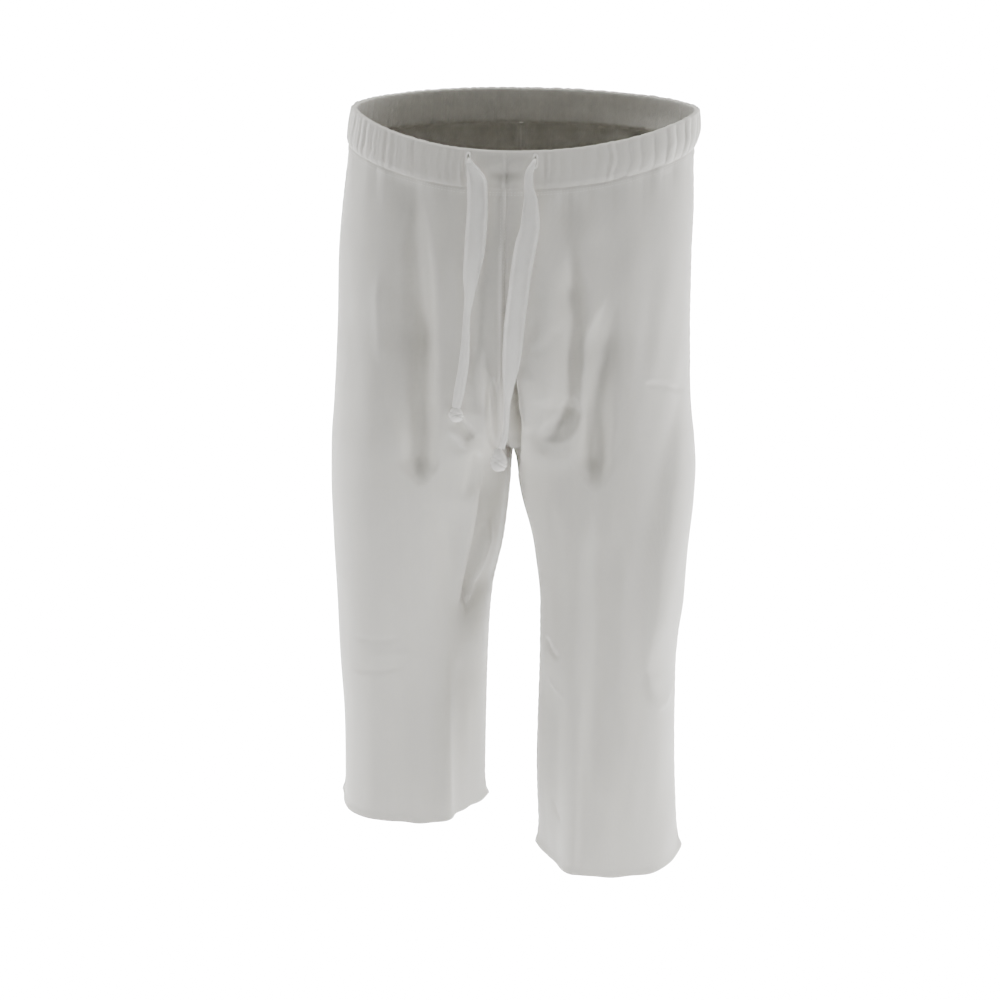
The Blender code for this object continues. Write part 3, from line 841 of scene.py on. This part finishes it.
def cloth_map(sheet):
    """The piece's own cloth map in metres, and its two runs as values."""
    place = sheet.add("ShaderNodeUVMap", {"uv_map": "cloth"})
    across = sheet.add("ShaderNodeSeparateXYZ", sockets={0: place}, output=0)
    down = Value(sheet, across.socket.node.outputs[1])
    return place, across, down


def noise(sheet, place, scale, detail=3.0, roughness=0.55, stretch=(1.0, 1.0, 1.0)):
    """Noise on a place that is first stretched, so that the spots become streaks."""
    mapped = sheet.add("ShaderNodeMapping", sockets={"Vector": place, "Scale": stretch})
    return sheet.add(
        "ShaderNodeTexNoise",
        sockets={"Vector": mapped, "Scale": scale, "Detail": detail, "Roughness": roughness},
    )


def jersey_material(name, colour, wale=0.00115, bump=0.35, streaks=1.0):
    """Brushed cotton jersey. Knit height = |sin| ridges one wale wide, broken by V-shaped courses, fading
    into fibre noise. The colour drifts softly and in faint lengthwise streaks."""
    sheet = Sheet(bpy.data.materials.new(name))
    place, across, down = cloth_map(sheet)
    object_place = sheet.add("ShaderNodeTexCoord", output="Object")
    wale_wave = (across * (np.pi / wale)).sine().absolute()
    lean = (across * (2 * np.pi / wale)).sine()
    course = (down * (2 * np.pi / (wale * 0.82)) + lean * 1.1).sine()
    fibre = noise(sheet, place, 2600.0, 2.0, 0.6)
    nap = noise(sheet, place, 420.0, 4.0, 0.62, (1.0, 0.45, 1.0))
    patch = noise(sheet, object_place, 9.0, 3.0, 0.5)
    streak = noise(sheet, place, 60.0, 3.0, 0.55, (1.0, 0.07, 1.0))
    knit = wale_wave * 0.55 + course * 0.16 + fibre * 0.55 + nap * 0.9
    normal = sheet.add(
        "ShaderNodeBump",
        sockets={"Strength": bump, "Distance": 0.00035, "Height": knit},
    )
    shade = (patch - 0.5) * 0.55 + (streak - 0.5) * (0.5 * streaks) + (nap - 0.5) * 0.35
    shade = shade + (wale_wave - 0.6) * 0.10
    factor = (shade + 0.5).clipped()
    dark = tuple(c * f for c, f in zip(colour, (0.915, 0.918, 0.925)))
    light = tuple(min(c * f, 1.0) for c, f in zip(colour, (1.045, 1.045, 1.040)))
    sheet.feed(
        Base_Color=colour_between(sheet, factor, dark, light),
        Roughness=(0.86 + (nap - 0.5) * 0.16),
        Normal=normal,
        Sheen_Weight=0.28,
        Sheen_Roughness=0.45,
        Sheen_Tint=(1.0, 0.99, 0.97, 1.0),
        Specular_IOR_Level=0.22,
    )
    return sheet.owner


def thread_material(name, colour):
    """Spun polyester thread: finely twisted, a little glossier than the cloth."""
    sheet = Sheet(bpy.data.materials.new(name))
    place = sheet.add("ShaderNodeTexCoord", output="Object")
    twist = noise(sheet, place, 3200.0, 2.0, 0.6, (1.0, 1.0, 0.4))
    normal = sheet.add("ShaderNodeBump", sockets={"Strength": 0.4, "Distance": 0.0001, "Height": twist})
    pale = tuple(min(c * 1.05, 1.0) for c in colour)
    deep = tuple(c * 0.92 for c in colour)
    sheet.feed(
        Base_Color=colour_between(sheet, twist, deep, pale),
        Roughness=0.55 + twist * 0.2,
        Normal=normal,
        Sheen_Weight=0.2,
        Specular_IOR_Level=0.35,
    )
    return sheet.owner


def cloth_material():
    """The panels' jersey, made once."""
    colour = tuple(bpy.context.scene.capri_cloth.colour)
    return bpy.data.materials.get("capri_jersey") or jersey_material("capri_jersey", colour)


def tape_material():
    """The drawstring's cotton, a finer and calmer knit than the jersey, made once."""
    name, colour = "capri_tape_cotton", tuple(bpy.context.scene.capri_trim.tape_colour)
    return bpy.data.materials.get(name) or jersey_material(name, colour, wale=0.0010, bump=0.40, streaks=0.5)


def sewing_material():
    """The sewing thread, made once."""
    colour = tuple(bpy.context.scene.capri_trim.thread_colour)
    return bpy.data.materials.get("capri_thread") or thread_material("capri_thread", colour)


# ---------------------------------------------------------------- the four panels

# Flat cut of each panel that shows: widest girth and length in metres, and area in square metres
CUTS = {
    "front_right": (0.300, 0.725, 0.170),
    "front_left": (0.300, 0.725, 0.170),
    "back_right": (0.320, 0.735, 0.180),
    "back_left": (0.320, 0.735, 0.180),
}
ALLOWANCE_COLUMNS = 5


def seams():
    """Each seam's name, its two panels, and the columns and rows that its allowance covers: the side
    seams all the way down, the inseams below the crotch and the centre seams above it."""
    split = int(np.argmin(np.abs(panel_heights() - CROTCH)))
    outside = slice(0, ALLOWANCE_COLUMNS)
    inside = slice(PANEL_COLUMNS, PANEL_COLUMNS - ALLOWANCE_COLUMNS, -1)
    for side in SLOTS:
        yield "side_" + side, ("front_" + side, "back_" + side), outside, slice(0, None)
    for side in SLOTS:
        yield "inseam_" + side, ("front_" + side, "back_" + side), inside, slice(split + 1, None)
    for where in ("front", "back"):
        yield "centre_" + where, (where + "_right", where + "_left"), inside, slice(0, split)


def seam_allowance(name, first, second):
    """The sewn-down allowance behind a seam: a strip on the inner faces of the two panels, from the edge
    columns of one straight across to those of the other, thickest at the seam."""
    inner, normal, _, drop = (np.concatenate([a, b[:, ::-1]], axis=1) for a, b in zip(first, second))
    across = np.cumsum(np.linalg.norm(np.diff(inner, axis=1, prepend=inner[:, :1]), axis=-1), axis=1)
    share = np.abs(np.linspace(-1, 1, inner.shape[1]))
    normal = grid_normals(inner, normal)
    under = inner - normal * 0.00012
    deep = under - normal * (0.0004 + 0.0006 * (1 - share**4))[None, :, None]
    dress(shell(name, under, deep, across, drop), cloth_material())


class OBJECT_OT_capri_panels(bpy.types.Operator):
    """The two front and two back panels, each a thin shell of jersey with its creases, and the seam
    allowances inside them"""

    bl_idname = "object.capri_panels"
    bl_label = "Leg Panels"

    def execute(self, context):
        cloth = context.scene.capri_cloth
        skins = {}
        for panel, (width, length, area) in CUTS.items():
            outer, normal, run, drop = panel_skin(panel, cloth.crease_depth)
            inner = outer - normal * cloth.wall
            piece = shell("cloth_" + panel, outer, inner, run, drop)
            dress(piece, cloth_material(), panel)
            skins[panel] = (inner, normal, run, drop)
        for name, panels, columns, rows in seams():
            pair = [[grid[rows, columns][:, ::-1] for grid in skins[panel]] for panel in panels]
            seam_allowance("allowance_" + name, *pair)
        return {"FINISHED"}


# ---------------------------------------------------------------- the waistband


def band_columns():
    """Shares of the way round, closer together at the two slots."""
    fine = np.linspace(0, 1, 6001)
    x, _, _, face = band_line(fine)
    weight = 1.0 + (face < 0) * sum(5.0 * bell((x - at) / 0.004) for at in SLOTS.values())
    total = np.concatenate([[0], np.cumsum((weight[1:] + weight[:-1]) / 2)])
    return np.interp(np.linspace(0, total[-1], BAND_COLUMNS + 1)[:-1], total, fine)


def band_line(share):
    """x of the top edge at shares of the way round, from the centre front by the wearer's right side, the
    back and the left side, with the angle from the side seam, whether it is on the right, and the face,
    -1 in front and 1 behind."""
    quarter = np.floor(np.clip(share, 0, 0.999999) * 4).astype(int)
    within = share * 4 - quarter
    angle = np.pi / 2 * np.where(quarter % 2 == 0, 1 - within, within)
    on_right = quarter < 2
    face = np.where((quarter == 0) | (quarter == 3), -1.0, 1.0)
    half = np.where(on_right, SECTIONS[0].outer_r, SECTIONS[0].outer_l)
    return np.where(on_right, -1, 1) * half * np.cos(angle), angle, on_right, face


def front_share(x):
    """The shares of the way round the waistband where its front has these x."""
    right, left = np.linspace(0, 0.249, 2000), np.linspace(0.751, 0.9999, 2000)
    on_right, on_left = (np.interp(-x, -band_line(part)[0], part) for part in (right, left))
    return np.where(x < 0, on_right, on_left)


def band_surface(share, z):
    """The bare waistband at shares of the way round and heights z, and its outward normal. Both sides
    meet at the centre front and the centre back."""
    shape = np.broadcast_shapes(np.shape(share), np.shape(z))
    angle, on_right, face = (np.broadcast_to(v, shape) for v in band_line(share)[1:])
    z = np.broadcast_to(z, shape)
    point = np.zeros(shape + (3,))
    normal = np.zeros(shape + (3,))
    for panel in CUTS:
        where, side = panel.split("_")
        mask = (on_right == (side == "right")) & (face == face_sign(where))
        point[mask] = bare_point(side, angle[mask], z[mask], face_sign(where))
        normal[mask] = bare_normal(panel, angle[mask], z[mask])
    return point, normal


def band_profile():
    """The waistband's cross-section as (share of the wall outwards, share of the height down from the
    top): up the outside, over the folded top, down the inside and under."""
    outside = np.linspace(1.035, 0.06, 24)
    steps = [(1.0, v) for v in outside]
    for turn in np.linspace(0, np.pi, 9)[1:-1]:
        steps.append((0.5 + 0.5 * np.cos(turn), 0.06 - 0.05 * np.sin(turn)))
    steps += [(0.0, v) for v in outside[::-2]]
    steps += [(0.25, 1.045), (0.75, 1.045)]
    return np.array(steps)


def band_gathers(run, fall, outer, calm):
    """Wide puffs with fine ones among them on the outside, and faint ones on the inside."""
    middle = np.sin(np.pi * np.clip(fall, 0, 1)) ** 0.7
    wander = 0.0009 * np.sin(2 * np.pi * fall / 1.3 + 40 * run) + 0.0005 * np.sin(9 * fall + 95 * run)
    puff = gathers(run + wander + 0.05, 5)
    fine = gathers(run * 1.9 + wander + 0.02, 9)
    outside = calm * (PUFF * puff * (0.5 + 0.5 * middle) + FINE_PUFF * fine) * outer
    return outside - calm * 0.0006 * gathers(run + 0.3, 21) * (1 - outer)


def band_centre(x, fall, flat):
    """The front's flat stretch: it stands out a little, with a crisp ridge and a groove at each end and
    the centre seam down its middle."""
    low, high = FLAT_FRONT
    middle = np.sin(np.pi * np.clip(fall, 0, 1)) ** 0.7
    ridges = bell((x - low) / 0.0013) + bell((x - high) / 0.0013)
    grooves = bell((x - low - 0.0032) / 0.0013) + bell((x - high + 0.0032) / 0.0013)
    beside = bell((x + 0.0038) / 0.0016) + 0.7 * bell((x - 0.0026) / 0.0018)
    seam = 0.0006 * beside - 0.0009 * bell(x / 0.0008)
    return (0.0009 * flat + 0.0010 * ridges - 0.0008 * grooves) * middle + seam


def band_slots(x, fall):
    """The buttonholes: pits with level bottoms, puffed on both sides."""
    height = 0
    for at in SLOTS.values():
        away, below = np.abs(x - at), fall - SLOT_DROP / BAND_HEIGHT
        pit = smooth_step((0.0017 - away) / 0.0007)
        pit = pit * smooth_step((0.0062 / BAND_HEIGHT - np.abs(below)) / 0.03)
        height = height + 0.0007 * bell((away - 0.0036) / 0.0022) * bell(below / 0.26) - 0.0046 * pit
    return height


class OBJECT_OT_capri_waistband(bpy.types.Operator):
    """The gathered waistband with its flat centre, two buttonholes and folded top edge"""

    bl_idname = "object.capri_waistband"
    bl_label = "Waistband"

    def execute(self, context):
        profile = band_profile()
        out, fall = profile[:, :1], profile[:, 1:]
        point, normal = band_surface(band_columns()[None, :], -BAND_HEIGHT * fall)
        x = point[..., 0]
        girth = run_along(np.append(point[0], point[0, :1], axis=0))
        run = girth[None, :-1]
        front = point[..., 1] < 0
        low, high = FLAT_FRONT
        flat = smooth_step((x - low) / 0.004) * smooth_step((high - x) / 0.004) * front
        outer = smooth_step((out - 0.3) / 0.5)
        waist_seam = -0.0010 * bell((fall - 1.03) / 0.08)
        centre_back = -0.0008 * bell(x / 0.0012) + 0.0004 * bell((np.abs(x) - 0.003) / 0.0016)
        centre_front = band_centre(x, fall, flat) + band_slots(x, fall)
        dent = DENT * bell(((x + 0.0020) / 0.0195) ** 2) * bell((fall - 0.62) / 0.27)
        height = band_gathers(run, fall, outer, 1 - flat) - dent * front
        height = height + (waist_seam + np.where(front, centre_front, centre_back)) * outer
        points = point + normal * (BAND_WALL * (out - 0.75) + height)[..., None]
        top = bell(fall / 0.12)
        points[..., 2] += top * (1 - flat) * 0.0009 * (gathers(run + 0.05, 5) - 0.6) + top * 0.0003

        shape = points.shape[:2]
        piece = new_piece("band_gathered", points, grid_faces(*shape, closed_rows=True, closed_columns=True))
        down = BAND_HEIGHT * (fall + (1 - out) * 0.2)
        map_cloth(piece, np.broadcast_to(run, shape), np.broadcast_to(down, shape))
        colour = tuple(context.scene.capri_cloth.band_colour)
        jersey = jersey_material("capri_band_jersey", colour, streaks=0.6)
        dress(piece, jersey, "waistband")
        return {"FINISHED"}


# ---------------------------------------------------------------- the drawstring


def tape_line(side):
    """The tape's centre line with its width, turn and roll, evenly by length, and the run along it."""
    table = np.array(TAPES[side]) * (MM, MM, MM, MM, 1, 1)
    run = run_along(table[:, :3])
    at = np.linspace(0, run[-1], TAPE_ROWS)
    return np.stack([follow(run, table[:, k], at) for k in range(6)], axis=-1), at


def tape_section(around, width, roll):
    """The flat tape's cross-section: a thin rounded strip whose two edges roll forwards. roll 1 folds it
    into a soft cord: the strip's sides lie forwards over its middle, with a groove between."""
    edge, side = np.cos(around), np.sin(around)
    across = np.sign(edge) * np.abs(edge) ** 0.75
    thick = 0.00080 * np.sign(side) * np.abs(side) ** 0.6
    curl = 0.0024 * smooth_step((np.abs(across) - 0.55) / 0.45) ** 1.5
    bead = 0.0006 * bell((np.abs(across) - 0.92) / 0.08) * np.sign(side)
    flat_across = width / 2 * across
    flat_out = thick + bead + curl * 0.75
    cord_across = width / 2 * edge
    groove = 0.0006 * bell((edge - 0.15) / 0.16) * (side > 0)
    depth = np.minimum(width * 0.34, 0.0021)
    cord_out = depth * side - groove
    return (
        flat_across * (1 - roll) + cord_across * roll,
        flat_out * (1 - roll) + cord_out * roll,
    )


def tape_points(side):
    """The tape's skin: the cross-section carried along the centre line and turned about it. Also gives
    the centre line, the run along it and how far round each column is, in metres."""
    line, run = tape_line(side)
    centre = line[:, :3]
    width, turn, roll = line[:, 3], np.radians(line[:, 4]), np.clip(line[:, 5], 0, 1)
    along = unit(np.gradient(centre, axis=0))
    across = unit(np.array([1.0, 0.0, 0.0]) - along * along[:, :1])
    facing = np.cross(across, along)
    facing = facing * np.sign(-facing[:, 1:2] + facing[:, 2:3] * 0.2)
    turned = across * np.cos(turn)[:, None] + facing * np.sin(turn)[:, None]
    facing = facing * np.cos(turn)[:, None] - across * np.sin(turn)[:, None]
    around = np.linspace(0, 2 * np.pi, TAPE_AROUND, endpoint=False)[None, :]
    beside, out = tape_section(around, width[:, None], roll[:, None])
    seed = 61 if side == "right" else 67
    wave = ripple(run[:, None], beside * 6, seed, 0.034, 0.0004) * (1 - 0.6 * roll[:, None])
    lengthwise = 0.00025 * np.sin(beside / 0.0022 + 2.0 * np.sin(run[:, None] / 0.03)) * roll[:, None]
    out = out + wave + lengthwise
    points = centre[:, None] + turned[:, None] * beside[..., None] + facing[:, None] * out[..., None]
    return points, centre, run, np.abs(around - np.pi) * 0.0064


def add_tube(name, node, points, across, down, pole):
    """A tube of rings closed by a fan at each end, in the drawstring's cotton. Its cloth map takes across
    round each ring and down from ring to ring; pole is the first of these at the two ends."""
    rows, columns = points.shape[:2]
    quads = grid_faces(rows, columns, closed_columns=True)
    ring = np.arange(columns)
    following = np.roll(ring, -1)
    last = (rows - 1) * columns
    start_pole, end_pole = np.full(columns, rows * columns), np.full(columns, rows * columns + 1)
    start_cap = np.stack([ring, following, start_pole], axis=-1)
    end_cap = np.stack([following + last, ring + last, end_pole], axis=-1)
    skin = np.concatenate([points.reshape(-1, 3), [points[0].mean(axis=0), points[-1].mean(axis=0)]])
    piece = new_piece(name, skin, quads, start_cap, end_cap)
    run = np.append(np.broadcast_to(across, (rows, columns)), [pole, pole])
    map_cloth(piece, run, np.append(np.repeat(down, columns), [down[0], down[-1]]))
    dress(piece, tape_material(), node)
    return piece


KNOTS = {  # each knot's centre, and its half width, half depth and half height, in mm
    "right": ((-47.5, -111.2, -287.3), (7.4, 5.6, 7.4)),
    "left": ((-5.5, -108.2, -333.8), (8.6, 6.4, 11.6)),
}


def knot_skin(side):
    """A tied knot as a lumpy ball: a superellipsoid that narrows at the top, with the grooves of the
    wraps as tilted rings and one lengthwise fold, each a bell pressed into it."""
    centre, (wide, deep, tall) = np.array(KNOTS[side]) * MM
    lift = np.linspace(-np.pi / 2, np.pi / 2, KNOT_ROWS)[:, None]
    turn = np.linspace(0, 2 * np.pi, KNOT_COLUMNS, endpoint=False)[None, :]
    square = 0.86 if side == "right" else 0.70
    level = np.sign(np.sin(lift)) * np.abs(np.sin(lift)) ** square
    radius = np.abs(np.cos(lift)) ** square
    neck = 1 - (0.20 if side == "right" else 0.42) * smooth_step((level + 0.25) / 1.25)
    first = level + 0.42 * np.cos(turn - 0.4)
    second = level - 0.50 * np.cos(turn + 0.9) + 0.28
    third = np.cos(turn - 2.0) - 0.30 * level
    grooves = 0.17 * bell(first / 0.11) + 0.15 * bell(second / 0.12) * (np.sin(lift) < 0.6)
    grooves = grooves + 0.08 * bell((third - 0.92) / 0.05) + 0.05 * np.sin(3 * turn + 2 * level)
    if side == "left":
        grooves = grooves * 0.55 + 0.12 * bell((first + 0.35) / 0.10)
    size = radius * neck * (1 - grooves)
    x = wide * size * np.cos(turn)
    y = deep * size * np.sin(turn)
    z = tall * level * (1 - 0.35 * grooves) + np.zeros_like(turn)
    return np.stack([x, y, z], axis=-1) + centre


class OBJECT_OT_capri_drawstring(bpy.types.Operator):
    """The drawstring's two free ends and their knots"""

    bl_idname = "object.capri_drawstring"
    bl_label = "Drawstring"

    def execute(self, context):
        around = np.linspace(0, 0.045, KNOT_COLUMNS)
        down = np.linspace(0, 0.028, KNOT_ROWS)
        for side in TAPES:
            points, centre, run, beside = tape_points(side)
            tape = add_tube("tape_" + side, "drawstring_" + side, points, beside, run, 0.01)
            knot = add_tube("tape_knot_" + side, "knot_" + side, knot_skin(side), around, down, 0.02)
        return {"FINISHED"}


# ---------------------------------------------------------------- the stitches


def stitch_row(centres, along, out, length, radius):
    """Stitches as rounded beads: each an ellipsoid of five rings of six points, long along the seam."""
    turn = np.linspace(0, 2 * np.pi, 6, endpoint=False)[None, :]
    lift = np.linspace(-np.pi / 2, np.pi / 2, 5)[:, None]
    ball = [np.cos(turn) * np.cos(lift), np.sin(turn) * np.cos(lift), np.sin(lift) + 0 * turn]
    wide, tall, long = (part.reshape(1, -1, 1) for part in ball)
    points = (
        centres[:, None]
        + unit(np.cross(along, out))[:, None] * wide * radius
        + out[:, None] * tall * radius * 0.8
        + along[:, None] * long * length / 2
    )
    faces = grid_faces(5, 6, closed_columns=True)
    shift = (np.arange(len(centres)) * 30)[:, None, None]
    return points.reshape(-1, 3), (faces[None] + shift).reshape(-1, 4)


def read_along(run, values, at):
    """Rows of values read between their stations."""
    return np.stack([np.interp(at, run, values[:, k]) for k in range(3)], axis=-1)


def stitches_along(line, normal, pitch, radius):
    """Stitches a pitch apart along a line of points that lie on the cloth."""
    run = run_along(line)
    at = np.arange(pitch / 2, run[-1], pitch)
    along = unit(read_along(run, line, at + pitch / 4) - read_along(run, line, at - pitch / 4))
    out = unit(read_along(run, normal, at))
    centres = read_along(run, line, at) + out * radius * 0.2
    return stitch_row(centres, along, out, pitch * STITCH_SHARE, radius)


def across_rows(skin, normal, x, rows):
    """Where a skin's rows cross this x, and the normal there."""
    picks = np.array([np.interp(x, skin[k, :, 0], np.arange(skin.shape[1])) for k in rows])
    low = np.floor(picks).astype(int).clip(0, skin.shape[1] - 2)
    part = (picks - low)[:, None]
    return skin[rows, low] * (1 - part) + skin[rows, low + 1] * part, normal[rows, low]


def join_rows(rows):
    """Several sets of points and faces as one."""
    points, faces, count = [], [], 0
    for row_points, row_faces in rows:
        points.append(row_points)
        faces.append(row_faces + count)
        count += len(row_points)
    return np.concatenate(points), np.concatenate(faces)


STITCH_SHARE = 0.62  # of the pitch that a stitch covers
WAIST_ROWS = (0.0042, 0.0066)  # how far below the waistband its stitches run
CENTRE_ROWS = (-0.0009, -0.0047)  # x of the stitches on the felled centre-front seam
CENTRE_ROWS_END = 0.40  # share of the way down where they stop
BUTTONHOLE = (0.0020, 0.0064)  # half width and half height
BUTTONHOLE_BARS = 64


class OBJECT_OT_capri_stitches(bpy.types.Operator):
    """The twin rows of stitches on the centre-front seam and under the waistband, and the buttonholes"""

    bl_idname = "object.capri_stitches"
    bl_label = "Stitches"

    def execute(self, context):
        pitch = context.scene.capri_trim.stitch_length
        rows = []
        for panel in CUTS:
            outer, normal, _, drop = panel_skin(panel, context.scene.capri_cloth.crease_depth)
            for below in WAIST_ROWS:
                k = int(round((below / (drop[-1, 0] - drop[0, 0])) * PANEL_ROWS))
                rows.append(stitches_along(outer[k], normal[k], pitch, 0.00026))
            if panel == "front_right":
                seam = np.arange(4, int(PANEL_ROWS * CENTRE_ROWS_END))
                for x in CENTRE_ROWS:
                    rows.append(stitches_along(*across_rows(outer, normal, x, seam), pitch, 0.00024))
        dress(new_piece("seam_stitches", *join_rows(rows)), sewing_material())
        for side, at in SLOTS.items():
            self.add_buttonhole(side, at)
        return {"FINISHED"}

    def add_buttonhole(self, side, at):
        """An upright oval of satin stitches: a ring of cross bars round the slot."""
        turn = np.linspace(0, 2 * np.pi, BUTTONHOLE_BARS, endpoint=False)
        wide, tall = BUTTONHOLE
        x = at + wide * np.sign(np.cos(turn)) * np.abs(np.cos(turn)) ** 0.8
        point, normal = band_surface(front_share(x), -SLOT_DROP - tall * np.sin(turn))
        outward = unit(np.stack([np.cos(turn) * tall, 0 * turn, -np.sin(turn) * wide], axis=-1))
        outward = unit(outward - normal * (outward * normal).sum(-1, keepdims=True))
        centre = point + normal * (BAND_WALL * 0.25 + 0.0012)
        piece = new_piece("buttonhole_" + side, *stitch_row(centre, outward, normal, 0.0020, 0.00042))
        dress(piece, sewing_material())


# ---------------------------------------------------------------- the stage

CAMERA_AT = (0.212, -2.582, 0.438)
CAMERA_LOOKS_AT = (-0.0138, 0.0, -0.4114)
CAMERA_LENS = 94.3
FLOOR_Z = -1.060
FLOOR_HALF = 30.0
WHITE_SEEN = 20.0  # brightness of the floor and the surround where the camera sees them
ROOM_LIGHT = 0.105  # brightness of the surround as a light


def aim(thing, target):
    """Turns a light or camera to face the target."""
    thing.rotation_euler = (Vector(target) - thing.location).to_track_quat("-Z", "Y").to_euler()


def add_light(name, at, target, size, power):
    """A rectangular area light that faces the target."""
    data = bpy.data.lights.new(name, "AREA")
    data.shape = "RECTANGLE"
    data.size, data.size_y = size
    data.energy = power
    light = bpy.data.objects.new(name, data)
    light.location = at
    bpy.context.scene.collection.objects.link(light)
    aim(light, target)


def pale_world():
    """A white surround that the camera sees bright and that lights the trousers only faintly."""
    world = bpy.data.worlds.new("soft_room")
    room = Sheet(world, "Background")
    room.feed(Color=(1.0, 1.0, 1.0, 1.0), Strength=ROOM_LIGHT)
    seen = room.add("ShaderNodeBackground", sockets={"Strength": WHITE_SEEN})
    to_camera = room.add("ShaderNodeLightPath", output="Is Camera Ray")
    lit = Value(room, room.shader.outputs[0])
    mix = room.add("ShaderNodeMixShader", sockets={0: to_camera, 1: lit, 2: seen})
    room.set(room.tree.nodes["World Output"], "Surface", mix)
    return world


class OBJECT_OT_capri_stage(bpy.types.Operator):
    """The pale floor, the soft lights and the camera"""

    bl_idname = "object.capri_stage"
    bl_label = "Stage"

    def execute(self, context):
        mesh = bpy.data.meshes.new("floor")
        corners = [(x * FLOOR_HALF, y * FLOOR_HALF, FLOOR_Z) for x, y in ((-1, -1), (1, -1), (1, 1), (-1, 1))]
        mesh.from_pydata(corners, [], [(0, 1, 2, 3)])
        floor = bpy.data.objects.new("floor", mesh)
        context.scene.collection.objects.link(floor)
        paint = Sheet(bpy.data.materials.new("pale_floor"))
        paint.feed(Base_Color=(0.9, 0.9, 0.9, 1.0), Roughness=0.9)
        paint.feed(Emission_Color=(1.0, 1.0, 1.0, 1.0), Emission_Strength=WHITE_SEEN)
        mesh.materials.append(paint.owner)
        floor.visible_diffuse = False
        context.scene.world = pale_world()

        middle = (0.0, 0.0, -0.40)
        add_light("rim_right", (-1.8, 0.70, -0.50), middle, (0.6, 2.2), 48.0)
        add_light("rim_left", (1.8, 0.70, -0.50), middle, (0.6, 2.2), 55.0)
        add_light("window_right", (-1.6, -0.70, -0.85), (0.0, 0.0, -0.5), (0.5, 1.1), 21.5)
        add_light("window_left", (1.6, -0.70, -0.85), (0.0, 0.0, -0.5), (0.5, 1.1), 26.0)
        add_light("back_rim", (0.0, 2.4, 0.2), middle, (3.2, 2.0), 26.0)
        add_light("low_fill", (0.05, -0.85, -1.045), (0.0, 0.0, -0.80), (1.6, 0.4), 10.0)
        add_light("top_fill", (0.0, -0.08, 0.9), (0.0, 0.05, 0.0), (0.5, 0.25), 11.0)

        data = bpy.data.cameras.new("camera")
        data.lens = CAMERA_LENS
        data.sensor_width = 36.0
        camera = bpy.data.objects.new("camera", data)
        camera.location = CAMERA_AT
        context.scene.collection.objects.link(camera)
        aim(camera, CAMERA_LOOKS_AT)
        context.scene.camera = camera
        return {"FINISHED"}


class VIEW3D_PT_capri(bpy.types.Panel):
    """The maker's panel in the sidebar"""

    bl_label = "Capri Trousers"
    bl_idname = "VIEW3D_PT_capri"
    bl_space_type = "VIEW_3D"
    bl_region_type = "UI"
    bl_category = "Capri"

    def draw(self, context):
        layout = self.layout
        cloth, trim = context.scene.capri_cloth, context.scene.capri_trim
        for group in (cloth, trim):
            box = layout.box()
            for key in group.__annotations__:
                box.prop(group, key)
        for operator in OPERATORS:
            layout.operator(operator.bl_idname)


OPERATORS = (
    OBJECT_OT_capri_panels,
    OBJECT_OT_capri_waistband,
    OBJECT_OT_capri_drawstring,
    OBJECT_OT_capri_stitches,
    OBJECT_OT_capri_stage,
)
CLASSES = (CapriCloth, CapriTrim, *OPERATORS, VIEW3D_PT_capri)


def register():
    for cls in CLASSES:
        bpy.utils.register_class(cls)
    bpy.types.Scene.capri_cloth = bpy.props.PointerProperty(type=CapriCloth)
    bpy.types.Scene.capri_trim = bpy.props.PointerProperty(type=CapriTrim)


def unregister():
    del bpy.types.Scene.capri_cloth
    del bpy.types.Scene.capri_trim
    for cls in reversed(CLASSES):
        bpy.utils.unregister_class(cls)


def main():
    register()
    bpy.ops.object.capri_drawstring()
    bpy.ops.object.capri_panels()
    bpy.ops.object.capri_waistband()
    bpy.ops.object.capri_stitches()
    bpy.ops.object.capri_stage()


if __name__ == "__main__":
    main()
